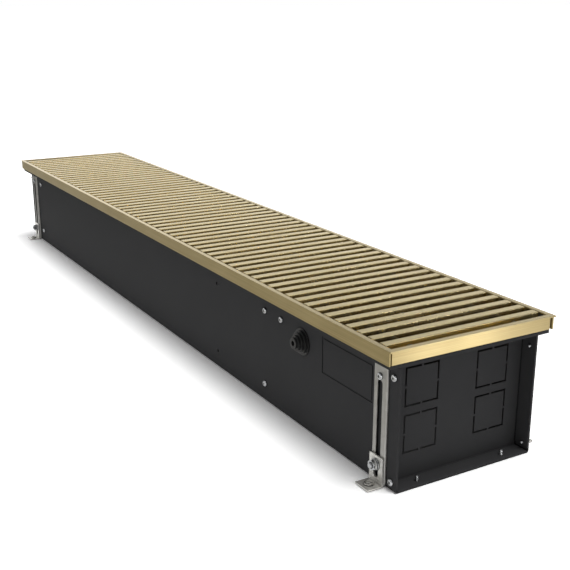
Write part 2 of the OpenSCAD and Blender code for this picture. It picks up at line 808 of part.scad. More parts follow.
module foot_bush() {
    color([0.66, 0.62, 0.54]) translate([0, -anchor_y, 0]) difference() {
        union() {
            cylinder(r = anchor_r + bush_wall, h = foot_t + cut);
            translate([0, 0, foot_t + fit]) cylinder(r = bush_af / sqrt(3), h = bush_up - fit, $fn = 6);
        }
        rod_z([0, 0, -cut], anchor_r, foot_t + bush_up + 2 * cut);
    }
}
module near_front() {
    translate([foot_x, 0, 0]) children();
}
module near_back() {
    mirror([0, 1, 0]) near_front() children();
}
module far_front() {
    mirror([1, 0, 0]) near_front() children();
}
module far_back() {
    mirror([1, 0, 0]) near_back() children();
}

// Cable entry: a stepped rubber grommet in a hole in the room side
module cable_grommet() {
    neck = grommet_hole_r - fit;
    back = grommet_hole_r + sheet;
    step_r = (grommet_r - cable_r - sheet) / (grommet_steps + 1);
    steps = [for (i = [1 : grommet_steps]) each [
        [grommet_r - i * step_r, sheet + (i - 1) * grommet_step],
        [grommet_r - i * step_r, sheet + i * grommet_step]]];
    outline = concat(
        [[cable_r, -2 * sheet - fit], [back, -2 * sheet - fit], [back, -sheet - fit], [neck, -sheet - fit],
            [neck, fit], [grommet_r, fit], [grommet_r, sheet]],
        steps,
        [[cable_r, sheet + grommet_steps * grommet_step]]);
    color([0.05, 0.05, 0.05]) translate([grommet_x, -half_w, grommet_z]) rotate([90, 0, 0])
        rotate_extrude($fn = 48) polygon(outline);
}

// Supports: flanged cross plates that carry the exchanger and the fan
module support_plate(web, side) {
    edge = inner_w - fit - sheet / 2;
    flange = web + side * (support_flange - sheet / 2);
    difference() {
        translate([0, 0, support_low]) linear_extrude(support_top - support_low)
            folded([[flange, -edge], [web, -edge], [web, edge], [flange, edge]], sheet);
        for (y = tube_y, z = tube_z) rod_x([web - sheet, y, z], tube_r + collar_t, 2 * sheet);
        rod_x([web - sheet, fan_y, fan_z], seat_r + fit, 2 * sheet);
        both_sides() for (z = spare_z)
            rod_y([web + side * support_flange / 2, -inner_w, z], shank_r + fit, 2 * sheet);
    }
}
module support_near() {
    color([0.2, 0.2, 0.21]) difference() {
        support_plate(near_web_x, 1);
        rod_x([near_web_x - sheet, lead_y, lead_floor], lead_r + sheet, 2 * sheet);
    }
}
module support_far() {
    color([0.2, 0.2, 0.21]) support_plate(far_web_x, -1);
}
module support_screws() {
    color([0.75, 0.76, 0.78]) {
        both_sides() for (z = spare_z, x = [near_support_x, far_support_x])
            side_screw(x, z, 2 * sheet + fit + tip);
        side_screw(box_screw_x, support_screw_high, sheet + fit + box_wall + tip / 2);
    }
}

// Heat exchanger: aluminium fins with collars on eight copper tubes
module fin_face() {
    difference() {
        translate([fin_low_y, fin_low_z]) square([fin_high_y - fin_low_y, fin_high_z - fin_low_z]);
        for (y = tube_y, z = tube_z) translate([y, z]) circle(r = tube_r + run_gap, $fn = 24);
    }
}
module collar_faces() {
    for (y = tube_y, z = tube_z) translate([y, z]) difference() {
        circle(r = tube_r + run_gap + collar_t, $fn = 24);
        circle(r = tube_r + run_gap, $fn = 24);
    }
}
module exchanger_fins() {
    color([0.78, 0.79, 0.8]) union() {
        for (i = [0 : fin_count]) translate([fin_start + i * fin_pitch, 0, 0])
            along_x(-fin_t / 2, fin_t / 2) fin_face();
        for (i = [0 : fin_count - 1]) translate([fin_start + i * fin_pitch, 0, 0])
            along_x(fin_t / 2, fin_pitch - fin_t / 2) collar_faces();
    }
}
module exchanger_tubes() {
    color([0.72, 0.42, 0.28]) for (y = tube_y, z = tube_z) {
        open_end = y == tube_y[0] && (z == tube_z[0] || z == tube_z[tube_rows - 1]);
        near = open_end ? socket_x : tube_near;
        pipe_x([tube_far, y, z], tube_r, tube_wall, near - tube_far);
    }
}

// Return bends: level ones at the far end and upright ones at the near end
module bend(pitch) {
    rotate_extrude(angle = 180, $fn = 32) translate([pitch / 2, 0]) difference() {
        circle(r = tube_r, $fn = 24);
        circle(r = tube_r - tube_wall, $fn = 24);
    }
}
module exchanger_bends() {
    middle_y = (tube_y[0] + tube_y[1]) / 2;
    color([0.72, 0.42, 0.28]) {
        for (z = tube_z) translate([tube_far, middle_y, z]) rotate([0, 0, 90]) bend(column_pitch);
        for (i = [0 : tube_rows - 2]) {
            y = i == 1 ? tube_y[0] : tube_y[1];
            translate([tube_near, y, tube_z[i] + tube_pitch / 2]) rotate([90, 0, 0])
                rotate([0, 0, -90]) bend(tube_pitch);
        }
    }
}
module pipe_sockets() {
    color([0.8, 0.66, 0.35]) for (z = [tube_z[0], tube_z[tube_rows - 1]])
        translate([socket_x, tube_y[0], z]) difference() {
        rotate([0, 90, 0]) rotate([0, 0, 30]) cylinder(r = socket_af / sqrt(3), h = socket_l, $fn = 6);
        rod_x([socket_l - socket_bore, 0, 0], socket_bore_r, socket_bore + cut);
        rod_x([-cut, 0, 0], tube_r - tube_wall, socket_l);
    }
}

// Air vent on top of the return socket
module air_vent_body() {
    color([0.8, 0.7, 0.42]) difference() {
        translate([vent_x, tube_y[0], vent_z]) cylinder(r = vent_r, h = vent_h);
        translate([vent_x, tube_y[0], vent_z + vent_h / 3]) cylinder(r = vent_screw_r + run_gap, h = vent_h);
    }
}
module air_vent_screw() {
    top = vent_z + vent_h;
    color([0.75, 0.76, 0.78]) difference() {
        union() {
            rod_z([vent_x, tube_y[0], top - vent_h / 2], vent_screw_r, vent_h / 2 + slide_gap + cut);
            rod_z([vent_x, tube_y[0], top + slide_gap], vent_knob_r, vent_knob_h);
        }
        translate([vent_x - vent_knob_r, tube_y[0] - cross_w / 2, top + slide_gap + vent_knob_h / 2])
            cube([2 * vent_knob_r, cross_w, vent_knob_h]);
    }
}

// Fan housing: a curved air guide round the wheels, open towards the exchanger
module fan_housing() {
    c = [fan_y, fan_z];
    a0 = guide_angles[0];
    a1 = guide_angles[1];
    floor_end = fan_y + guide_r * cos(a0);
    color([0.62, 0.63, 0.64]) along_x(far_web_x + sheet, near_web_x - sheet) polygon(concat(
        [[guide_floor_y, guide_floor_z - guide_t]],
        [[floor_end, guide_floor_z - guide_t]],
        arc(c, guide_r + guide_t, a0 + guide_lap, a1, 28),
        backwards(arc(c, guide_r, a0, a1, 28)),
        [[guide_floor_y, guide_floor_z]]));
}
module fan_saddles() {
    color([0.55, 0.56, 0.57]) for (i = [0 : saddle_count - 1])
        translate([motor_x + (i / (saddle_count - 1) - 1 / 2) * saddle_span, 0, 0])
        along_x(-sheet / 2, sheet / 2) difference() {
            translate([fan_y - saddle_w / 2, floor_z]) square([saddle_w, fan_z - floor_z]);
            translate([fan_y, fan_z]) circle(r = guide_r + guide_t + fit, $fn = 64);
            translate([0, guide_floor_z - guide_t - fit]) square([fan_y, fan_z]);
        }
}

// Air divider between the fan's intake and the warm side
module air_divider() {
    low = fan_z + wheel_r;
    nose = [fan_y - guide_r - guide_t - guide_gap / 2, fan_z + guide_r / 3];
    color([0.62, 0.63, 0.64]) along_x(far_web_x + sheet, near_web_x - sheet)
        folded([[divider_y, casing_h - 2 * sheet], [divider_y, low], nose,
            nose - [wheel_r / 5, wheel_r / 8]], guide_t);
}

// Motor between the two wheels: can, stator, bearings and rubber mounts
module round_x(x, y, z) {
    translate([x, y, z]) rotate([0, 90, 0]) children();
}
module motor_can() {
    bore = shaft_r + run_gap * 8;
    color([0.3, 0.31, 0.33]) round_x(motor_x, fan_y, fan_z) difference() {
        translate([0, 0, -motor_l / 2]) cylinder(r = motor_r, h = motor_l, $fn = 48);
        translate([0, 0, motor_wall - motor_l / 2])
            cylinder(r = motor_r - motor_wall, h = motor_l - 2 * motor_wall, $fn = 48);
        translate([0, 0, -motor_l]) cylinder(r = bore, h = 2 * motor_l);
    }
}
bearing_w = 2 * shaft_r;
stator_l = motor_l - 2 * motor_wall - 4 * bearing_w;
rotor_r = motor_r / 2;
module motor_stator() {
    color([0.45, 0.3, 0.2]) round_x(motor_x, fan_y, fan_z) difference() {
        translate([0, 0, -stator_l / 2]) cylinder(r = motor_r - motor_wall - fit, h = stator_l, $fn = 48);
        translate([0, 0, -stator_l]) cylinder(r = rotor_r + slide_gap, h = 2 * stator_l, $fn = 48);
    }
}
module motor_rotor() {
    color([0.5, 0.5, 0.52]) round_x(motor_x, fan_y, fan_z) difference() {
        translate([0, 0, -stator_l / 2]) cylinder(r = rotor_r, h = stator_l);
        translate([0, 0, -stator_l]) cylinder(r = shaft_r + run_gap / 5, h = 2 * stator_l);
    }
}
module motor_bearings() {
    color([0.7, 0.71, 0.73]) round_x(motor_x, fan_y, fan_z) for (s = [-1, 1])
        translate([0, 0, s * (motor_l / 2 - motor_wall - fit - bearing_w / 2) - bearing_w / 2]) difference() {
            cylinder(r = motor_r - motor_wall - fit, h = bearing_w, $fn = 48);
            translate([0, 0, -cut]) cylinder(r = shaft_r + run_gap, h = bearing_w + 2 * cut);
        }
}
module motor_mounts() {
    color([0.07, 0.07, 0.07]) round_x(motor_x, fan_y, fan_z) for (s = [-1, 1])
        translate([0, 0, s * (motor_l / 2 - bearing_w) - bearing_w / 2]) difference() {
            cylinder(r = guide_r - fit, h = bearing_w, $fn = 48);
            translate([0, 0, -cut]) cylinder(r = motor_r + fit, h = bearing_w + 2 * cut, $fn = 48);
        }
}

// Outer bearings: bronze bushes in rubber seats in the two supports
module bearing_bushes() {
    color([0.7, 0.52, 0.3]) for (x = [near_web_x, far_web_x]) round_x(x, fan_y, fan_z)
        translate([0, 0, -seat_l / 2]) difference() {
        cylinder(r = bush_r, h = seat_l);
        translate([0, 0, -cut]) cylinder(r = shaft_r + run_gap, h = seat_l + 2 * cut);
    }
}
module bearing_seats() {
    collar = seat_r + 2 * sheet;
    groove = sheet / 2 + fit;
    color([0.07, 0.07, 0.07]) for (x = [near_web_x, far_web_x]) round_x(x, fan_y, fan_z)
        rotate_extrude() polygon([
        [bush_r + fit, -seat_l / 2], [seat_r, -seat_l / 2], [collar, -groove - 2 * sheet],
        [collar, -groove], [seat_r, -groove], [seat_r, groove], [collar, groove],
        [collar, groove + 2 * sheet], [seat_r, seat_l / 2], [bush_r + fit, seat_l / 2]]);
}

// Cross-flow wheels: curved blades between ring discs
module blade() {
    r = blade_ring * 3 / 4;
    c = [wheel_r - blade_ring / 2, -r / 2];
    polygon(concat(
        arc(c, r + blade_t / 2, blade_angles[0], blade_angles[1], 5),
        backwards(arc(c, r - blade_t / 2, blade_angles[0], blade_angles[1], 5))));
}
module fan_wheel() {
    hub_bore = shaft_r + run_gap / 5;
    union() {
        for (i = [0 : blade_count - 1]) linear_extrude(wheel_l) rotate(i * 360 / blade_count) blade();
        for (i = [1 : disc_count - 1])
            translate([0, 0, i * wheel_l / disc_count - disc_t / 2]) linear_extrude(disc_t) difference() {
            circle(r = wheel_r, $fn = 48);
            circle(r = wheel_r - blade_ring, $fn = 48);
        }
        for (z = [0, wheel_l - disc_t]) translate([0, 0, z]) linear_extrude(disc_t) difference() {
            circle(r = wheel_r, $fn = 48);
            circle(r = hub_bore);
        }
        for (z = [0, wheel_l - hub_l]) translate([0, 0, z]) linear_extrude(hub_l) difference() {
            circle(r = hub_r);
            circle(r = hub_bore);
        }
    }
}
module fan_wheel_near() {
    color([0.66, 0.67, 0.68]) round_x(motor_x + wheel_start, fan_y, fan_z) fan_wheel();
}
module fan_wheel_far() {
    color([0.66, 0.67, 0.68]) mirror_at_motor() round_x(motor_x + wheel_start, fan_y, fan_z) fan_wheel();
}
module mirror_at_motor() {
    translate([motor_x, 0, 0]) mirror([1, 0, 0]) translate([-motor_x, 0, 0]) children();
}
module fan_shaft() {
    middle = wheel_start + hub_l;
    stub = wheel_start + wheel_l - hub_l;
    color([0.78, 0.79, 0.8]) {
        rod_x([motor_x - middle, fan_y, fan_z], shaft_r, 2 * middle);
        rod_x([motor_x + stub, fan_y, fan_z], shaft_r, near_web_x + seat_l / 2 - motor_x - stub);
        rod_x([far_web_x - seat_l / 2, fan_y, fan_z], shaft_r, motor_x - stub - far_web_x + seat_l / 2);
    }
}

// Terminal box beside the cable entry, open to the top under its lid
module terminal_box() {
    color([0.62, 0.63, 0.63]) difference() {
        block([box_x, box_y, box_z], [box_x + box_l, box_y + box_d, box_z + box_h]);
        block([box_x + box_wall, box_y + box_wall, box_z + box_wall],
            [box_x + box_l - box_wall, box_y + box_d - box_wall, box_z + box_h + cut]);
        rod_y([box_screw_x, box_y - cut, support_screw_high], shank_r + fit, box_wall + 2 * cut);
        rod_z([lead_x, lead_y, box_z - cut], lead_r + fit, box_wall + 2 * cut);
    }
}
module terminal_lid() {
    top = box_z + box_h + fit;
    rim = box_wall + fit;
    color([0.66, 0.67, 0.67]) difference() {
        union() {
            block([box_x, box_y, top], [box_x + box_l, box_y + box_d, top + box_lid_t]);
            block([box_x + rim, box_y + rim, top - box_lid_t],
                [box_x + box_l - rim, box_y + box_d - rim, top + box_lid_t / 2]);
        }
        block([box_x + rim + box_wall, box_y + rim + box_wall, top - box_lid_t - cut],
            [box_x + box_l - rim - box_wall, box_y + box_d - rim - box_wall, top]);
        for (x = lid_screw_x)
            rod_z([x, box_y + box_d / 2, top - box_lid_t], lid_shank_r + fit, 3 * box_lid_t);
    }
}
lid_shank_r = box_wall * 2 / 3;
lid_head_r = 2 * lid_shank_r;
lid_screw_x = [box_x + 2 * box_wall, box_x + box_l - 2 * box_wall];
module terminal_screws() {
    top = box_z + box_h + fit + box_lid_t;
    color([0.75, 0.76, 0.78]) for (x = lid_screw_x) {
        rod_z([x, box_y + box_d / 2, top], lid_head_r, lid_shank_r);
        rod_z([x, box_y + box_d / 2, top - box_lid_t - lid_head_r],
            lid_shank_r, box_lid_t + lid_head_r + lid_shank_r / 2);
    }
}
module terminal_block() {
    pole = (box_l / 2) / pole_count;
    low = box_z + box_wall + fit;
    high = low + box_h / 3;
    x0 = box_x + box_l / 2 - box_l / 4;
    y0 = box_y + box_d / 3;
    color([0.85, 0.84, 0.8]) difference() {
        block([x0, y0, low], [x0 + pole * pole_count, y0 + box_d / 3, high]);
        for (i = [0 : pole_count - 1]) {
            rod_z([x0 + (i + 1 / 2) * pole, y0 + box_d / 6, high - pole / 2], pole / 4, pole);
            if (i > 0) block([x0 + i * pole - fit, y0 - cut, high - pole / 2],
                [x0 + i * pole + fit, y0 + box_d / 3 + cut, high + cut]);
        }
    }
}

// Motor lead: down from the terminal box, along the floor and up to the motor
lead_x = box_x + box_wall + 2 * lead_r;
lead_y = box_y + box_d / 2;
lead_floor = floor_z + lead_r;
lead_turn = 8 * lead_r;
riser_y = (fin_high_y + guide_floor_y) / 2;
motor_side = fan_y - motor_r - fit;
function corner(p, from, to) = [for (t = [0 : 3]) let(a = t * 30)
    p + lead_turn * ((1 - sin(a)) * from + (1 - cos(a)) * to)];
lead_path = concat(
    [[lead_x, lead_y, box_z + box_wall]],
    corner([lead_x, lead_y, lead_floor], [0, 0, 1], [-1, 0, 0]),
    corner([motor_x, lead_y, lead_floor], [1, 0, 0], [0, 1, 0]),
    corner([motor_x, riser_y, lead_floor], [0, -1, 0], [0, 0, 1]),
    corner([motor_x, riser_y, fan_z], [0, 0, -1], [0, 1, 0]),
    [[motor_x, motor_side, fan_z]]);
module motor_lead() {
    n = len(lead_path) - 1;
    sides = 8;
    tangents = [for (i = [0 : n]) unit(lead_path[min(i + 1, n)] - lead_path[max(i - 1, 0)])];
    normals = [for (i = 0, v = [0, 1, 0]; i <= n;
        i = i + 1, v = i <= n ? unit(v - (v * tangents[i]) * tangents[i]) : v) v];
    points = [for (i = [0 : n], k = [0 : sides - 1])
        lead_path[i] + lead_r * (cos(k * 360 / sides) * normals[i]
            + sin(k * 360 / sides) * cross(tangents[i], normals[i]))];
    walls = [for (i = [0 : n - 1], k = [0 : sides - 1]) let(m = (k + 1) % sides) each [
        [i * sides + k, (i + 1) * sides + k, (i + 1) * sides + m],
        [i * sides + k, (i + 1) * sides + m, i * sides + m]]];
    caps = [[for (k = [0 : sides - 1]) k], [for (k = [sides - 1 : -1 : 0]) n * sides + k]];
    color([0.08, 0.08, 0.08]) polyhedron(points, concat(walls, caps));
}

trough();
end_panel();  // end_panel_near
mirror([1, 0, 0]) end_panel();  // end_panel_far
end_screws();
end_studs();
frame_front();
frame_back();
frame_near();
frame_far();
frame_corner_keys();
frame_screws();
grille_seals();
grille_bars();
grille_spacers();
grille_springs();
grille_clips();
foot_rails();
rail_screws();
near_front() foot_bracket();  // foot_bracket_near_front
near_back() foot_bracket();  // foot_bracket_near_back
far_front() foot_bracket();  // foot_bracket_far_front
far_back() foot_bracket();  // foot_bracket_far_back
near_front() foot_clamp();  // foot_clamp_near_front
near_back() foot_clamp();  // foot_clamp_near_back
far_front() foot_clamp();  // foot_clamp_far_front
far_back() foot_clamp();  // foot_clamp_far_back
near_front() foot_bush();  // foot_bush_near_front
near_back() foot_bush();  // foot_bush_near_back
far_front() foot_bush();  // foot_bush_far_front
far_back() foot_bush();  // foot_bush_far_back
cable_grommet();
support_near();
support_far();
support_screws();
exchanger_fins();
exchanger_tubes();
exchanger_bends();
pipe_sockets();
air_vent_body();
air_vent_screw();
fan_housing();
fan_saddles();
air_divider();
motor_can();
motor_stator();
motor_bearings();
motor_mounts();
motor_rotor();
bearing_bushes();
bearing_seats();
fan_wheel_near();
fan_wheel_far();
fan_shaft();
terminal_box();
terminal_lid();
terminal_block();
terminal_screws();
motor_lead();
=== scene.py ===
# %% [markdown]
# A trench convector heater is a black steel trough that is let into the floor. It has an anodised
# aluminium frame round its rim and a grille of cross bars in it. The CAD model already has every
# shape in its right place, so this lesson loads it, gives each surface its real finish, and models
# again only the small pieces whose threads and chamfers the CAD leaves out.

# %% Load the CAD model
import json
import math
import bpy
from mathutils import Matrix, Vector


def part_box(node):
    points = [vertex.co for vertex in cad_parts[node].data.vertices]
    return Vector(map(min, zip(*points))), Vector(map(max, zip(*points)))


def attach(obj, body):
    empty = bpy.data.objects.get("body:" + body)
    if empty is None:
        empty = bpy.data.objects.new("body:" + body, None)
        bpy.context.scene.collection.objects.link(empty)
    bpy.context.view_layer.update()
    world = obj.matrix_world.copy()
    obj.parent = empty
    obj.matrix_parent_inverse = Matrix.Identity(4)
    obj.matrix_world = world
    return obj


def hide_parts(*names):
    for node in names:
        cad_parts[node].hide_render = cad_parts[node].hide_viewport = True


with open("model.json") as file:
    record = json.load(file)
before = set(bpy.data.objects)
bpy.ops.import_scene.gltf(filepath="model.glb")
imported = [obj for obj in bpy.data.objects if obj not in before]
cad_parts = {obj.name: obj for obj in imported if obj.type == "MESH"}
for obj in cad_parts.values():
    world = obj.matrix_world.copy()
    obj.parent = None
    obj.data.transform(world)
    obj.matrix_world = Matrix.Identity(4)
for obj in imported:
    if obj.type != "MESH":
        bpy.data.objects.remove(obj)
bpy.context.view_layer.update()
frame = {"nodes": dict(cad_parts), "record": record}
nodes = frame["nodes"]
MM = 0.001

# %% [markdown]
# The camera comes first, because each piece is then judged from where the photograph was taken. The
# photograph was solved for its camera: a lens a little longer than normal, turned 59.5 degrees from
# the long side and tilted 17 degrees down. Those angles could be typed in as a rotation, but three
# unit vectors say the same thing without a question of order: where right, up and back are.

# %% Camera at the photograph's place
CAMERA_AT = (1.6418, -0.7797, 0.6055)
CAMERA_RIGHT = (0.50696, 0.86197, 0.00213)
CAMERA_UP = (-0.25288, 0.14637, 0.95636)
CAMERA_BACK = (0.82404, -0.48537, 0.29218)
SENSOR = 36.0
FOCAL_PIXELS = 940.8
PHOTO_PIXELS = 570
SEEN_FROM, SEEN_TO = 0.02, 200

camera_data = bpy.data.cameras.new("camera")
camera_data.sensor_width = SENSOR
camera_data.lens = FOCAL_PIXELS / PHOTO_PIXELS * SENSOR
camera_data.clip_start = SEEN_FROM
camera_data.clip_end = SEEN_TO
camera = bpy.data.objects.new("camera", camera_data)
turned = Matrix((CAMERA_RIGHT, CAMERA_UP, CAMERA_BACK)).transposed().to_4x4()
camera.matrix_world = Matrix.Translation(CAMERA_AT) @ turned
bpy.context.scene.collection.objects.link(camera)
bpy.context.scene.camera = camera
bpy.context.scene.view_settings.view_transform = "Standard"
print("lens", round(camera_data.lens, 2), "mm")

# %% [markdown]
# The motor's lead is the only flexible piece. It is 6 mm thick, starts in the terminal box, drops to
# the trough's floor, lies along it and climbs to the motor. Its route could be a free curve, but a
# fitter dresses such a lead along walls and floor, so it is straight runs between six points, with
# each turn rounded by an arc of 24 mm. The points are those of the CAD model.

# %% Route of the motor lead
LEAD_TURN = 24 * MM
TURN_STEPS = 6
BOX_X, BOX_Z = 480, 112.5
RUN_Y, RUN_Z = -97.4, 4.6
MOTOR_X, MOTOR_Y, MOTOR_Z = -128.5, 29.9, 70
RISE_Y = -7.5
lead_corners = [Vector(p) * MM for p in [
    (BOX_X, RUN_Y, BOX_Z), (BOX_X, RUN_Y, RUN_Z), (MOTOR_X, RUN_Y, RUN_Z),
    (MOTOR_X, RISE_Y, RUN_Z), (MOTOR_X, RISE_Y, MOTOR_Z), (MOTOR_X, MOTOR_Y, MOTOR_Z)]]


def rounded_route(corners, radius, steps):
    """The corners of a route, each but the ends replaced by an arc of points."""
    points = [corners[0]]
    for before, here, after in zip(corners, corners[1:], corners[2:]):
        into, out = (here - before).normalized(), (after - here).normalized()
        centre = here - into * radius + out * radius
        for k in range(steps + 1):
            angle = math.pi / 2 * k / steps
            points.append(centre - out * radius * math.cos(angle) + into * radius * math.sin(angle))
    return points + [corners[-1]]


def length_of(points):
    """The length of a route."""
    return sum((b - a).length for a, b in zip(points, points[1:]))


lead_points = rounded_route(lead_corners, LEAD_TURN, TURN_STEPS)
print("motor lead", round(length_of(lead_points), 3), "m")

# %% [markdown]
# The lead's PVC sheath is extruded, so it is one round section along the route. It could be a chain
# of cylinders, but a curve with a round bevel needs only the centre line, and closes its own joints.
# The drawn curve is then kept as a mesh, because a mesh has exact bounds.

# %% Draw the motor lead
LEAD_RADIUS = 3 * MM
ROUND_STEPS = 4


def link(obj):
    """Puts a new object into the scene."""
    bpy.context.scene.collection.objects.link(obj)
    return obj


def as_mesh(obj):
    """A mesh of what an object looks like once its curve or its modifiers are worked out."""
    return bpy.data.meshes.new_from_object(obj.evaluated_get(bpy.context.evaluated_depsgraph_get()))


lead_curve = bpy.data.curves.new("motor_lead_sheath", "CURVE")
lead_curve.dimensions = "3D"
lead_curve.bevel_depth = LEAD_RADIUS
lead_curve.bevel_resolution = ROUND_STEPS
lead_curve.use_fill_caps = True
spline = lead_curve.splines.new("POLY")
spline.points.add(len(lead_points) - 1)
for point, place in zip(spline.points, lead_points):
    point.co = (*place, 1)
drawn = link(bpy.data.objects.new("drawn_lead", lead_curve))
lead = link(bpy.data.objects.new("motor_lead_sheath", as_mesh(drawn)))
bpy.data.objects.remove(drawn)
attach(lead, "casing")
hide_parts("motor_lead")
print(lead.name, len(lead.data.vertices), "vertices")

# %% [markdown]
# A shader is a small network of nodes. They could be drawn by hand in the editor, but a script can
# be read, compared and changed. One function adds a node, sets its options and fills or links its
# inputs, so every material reads as a list of what it is made of. Colours are written as the hex
# values that one picks from a photograph. The shader works in linear light, so one function converts
# them. Patterns are sized from millimetres on the real surface.

# %% Nodes, colours and real sizes
def fill(node, inputs):
    """Fills a node's inputs, each with a value or with the socket that feeds it."""
    for name, value in inputs.items():
        if isinstance(value, bpy.types.NodeSocket):
            node.id_data.links.new(value, node.inputs[name])
        else:
            node.inputs[name].default_value = value


def add_node(tree, kind, settings=None, inputs=None):
    """Adds one node with its settings and fills its inputs."""
    made = tree.nodes.new(kind)
    for name, value in (settings or {}).items():
        setattr(made, name, value)
    fill(made, inputs or {})
    return made


def linear(code):
    """An sRGB hex colour as linear red, green, blue and alpha."""
    parts = [int(code[i:i + 2], 16) / 255 for i in (1, 3, 5)]
    return (*[c / 12.92 if c <= 0.04045 else ((c + 0.055) / 1.055) ** 2.4 for c in parts], 1)


def per(size_mm):
    """Texture scale at which one feature is that many millimetres wide."""
    return 1 / (size_mm * MM)


def new_material(name):
    """An empty material, with its shader and the coordinates of the object it is on."""
    material = bpy.data.materials.new(name)
    material.use_nodes = True
    tree = material.node_tree
    tree.nodes.clear()
    shader = add_node(tree, "ShaderNodeBsdfPrincipled")
    add_node(tree, "ShaderNodeOutputMaterial", inputs={"Surface": shader.outputs["BSDF"]})
    place = add_node(tree, "ShaderNodeTexCoord").outputs["Object"]
    return material, tree, shader, place


materials = {}
print("mid grey in linear light", round(linear("#808080")[0], 3))

# %% [markdown]
# Three effects come back in nearly every finish of this heater. Its colour wanders between two close
# tones, its surface has a relief of a real depth over edges that are never quite sharp, and a
# scored line or a screw's cross is darker than the sheet round it, by painted shade. Rounded edges
# could be modelled, but they are finer than a pixel here, so the Bevel node rounds them in the
# shading alone. The lines are in the model, and Ambient Occlusion finds such places, closed in within
# a few millimetres, and paints shade into the colour there.

# %% Two tones, painted shade and relief
# Most of a noise lies between these two values, so patterns are stretched from that range.
MIDDLE = {"From Min": 0.3, "From Max": 0.7}
# The Mix node has sockets of the same name for numbers and colours, so those are picked by number.
AMOUNT, FIRST, SECOND, MIXED = 0, 6, 7, 2
# Painted shade: how far Ambient Occlusion looks, and the levels at which it darkens the colour.
PAINTED_SHADE_MM, PAINTED_SHADE_SAMPLES = 3, 8
FULL_SHADE_AO, NO_SHADE_AO, DARKEST_PAINTED_SHADE = 0.45, 0.92, 0.1
EDGE_SAMPLES = 4


def two_tones(tree, pattern, low, high):
    """A colour that follows a noise from one hex colour to another."""
    amount = add_node(tree, "ShaderNodeMapRange", inputs={"Value": pattern, **MIDDLE})
    return add_node(tree, "ShaderNodeMix", {"data_type": "RGBA"}, {
        AMOUNT: amount.outputs["Result"], FIRST: linear(low), SECOND: linear(high)}).outputs[MIXED]


def painted_shade_in_hollows(tree, colour):
    """The colour, with painted shade where the surface lies in a groove, a hole or a corner."""
    air = add_node(tree, "ShaderNodeAmbientOcclusion", {"samples": PAINTED_SHADE_SAMPLES}, {
        "Distance": PAINTED_SHADE_MM * MM})
    share = add_node(tree, "ShaderNodeMapRange", inputs={
        "Value": air.outputs["AO"], "From Min": FULL_SHADE_AO, "From Max": NO_SHADE_AO, "To Min": DARKEST_PAINTED_SHADE})
    return add_node(tree, "ShaderNodeMix", {"data_type": "RGBA"}, {
        AMOUNT: share.outputs["Result"], FIRST: linear("#000000"), SECOND: colour}).outputs[MIXED]


def relief(tree, height, depth_mm, edge_mm=0.0):
    """Bump of a real depth, over edges that are rounded a little where edge_mm is given."""
    bump = {"Height": height, "Strength": 1.0, "Distance": depth_mm * MM}
    if edge_mm:
        bump["Normal"] = add_node(tree, "ShaderNodeBevel", {"samples": EDGE_SAMPLES}, {
            "Radius": edge_mm * MM}).outputs["Normal"]
    return add_node(tree, "ShaderNodeBump", inputs=bump).outputs["Normal"]


print("places narrower than", PAINTED_SHADE_MM, "mm are darkened")

# %% [markdown]
# The trough and its inner plates are sheet steel with a black fine-texture powder coat. The powder
# is sprayed dry and melted on, which leaves a low, even orange-peel relief that breaks up
# reflections. A real displacement would need millions of faces, so a bump does it. The real grain is
# near 0.4 mm and would vanish at this distance, so it is drawn at 1.4 mm. Over it lies a much
# larger, faint change in tone and gloss, as on any coated panel.

# %% Powder-coated steel
PEEL_MM, PANEL_MM = 1.4, 90

material, tree, shader, place = new_material("powder_coated_steel")
peel = add_node(tree, "ShaderNodeTexNoise", inputs={
    "Vector": place, "Scale": per(PEEL_MM), "Detail": 2.0}).outputs["Fac"]
patches = add_node(tree, "ShaderNodeTexNoise", inputs={
    "Vector": place, "Scale": per(PANEL_MM), "Detail": 3.0}).outputs["Fac"]
gloss = add_node(tree, "ShaderNodeMapRange", inputs={
    "Value": patches, **MIDDLE, "To Min": 0.54, "To Max": 0.6}).outputs["Result"]
# The base colour carries painted shade in scored lines, holes and corners.
fill(shader, {
    "Base Color": painted_shade_in_hollows(tree, two_tones(tree, patches, "#373738", "#3b3b3c")),
    "Roughness": gloss, "IOR": 1.5, "Specular IOR Level": 0.05,
    "Normal": relief(tree, peel, 0.05, 0.7)})
materials["casing_black"] = material
print(material.name, len(tree.nodes), "nodes")

# %% [markdown]
# Frame and bars are extruded aluminium, brushed along their length and then anodised in a champagne
# tone. Anodising grows a clear hard oxide, so the metal keeps its reflection and takes the dye's
# colour. The brushing is what the eye reads: thousands of parallel scratches stretch each highlight
# across them. A picture of scratches would have to be unwrapped onto each profile, but a noise that
# is long along the piece and thin across it gives the lines everywhere. The real ones are 0.1 mm
# wide, so they are drawn at 0.9 mm to show at all. Long profiles, end profiles and bars each get a
# copy with its own direction, tone and gloss; the end profiles' darker tone is painted shade, and the
# bars' paler tone is painted light. In the photograph the frame is paler and smoother on top than on
# its walls, so the surface's own upward direction blends a second tone in there: a paler tone that is
# painted light from above, and a smoother gloss.

# %% Brushed and anodised aluminium
LINE_MM, CLOUD_MM = 0.9, 60
LINE_DEPTH_MM, PROFILE_EDGE_MM = 0.012, 0.2
# Painted light: the paler tone of faces that look up, and their smoother gloss.
TOP_PAINTED_LIGHT, TOP_ROUGH = "#e9d6a4", 0.2
CHAMPAGNE = ("#b7a473", "#cbb988")
# Painted shade: the end profiles' copy is a darker tone than the long profiles'.
END_SHADED_CHAMPAGNE = ("#ad9b6f", "#beac7f")
# Painted light: the bars' copy is a paler tone than the frame's.
BAR_LIT_CHAMPAGNE = ("#e4d097", "#fae8b6")
WALL, TOP = 0.6, 0.9


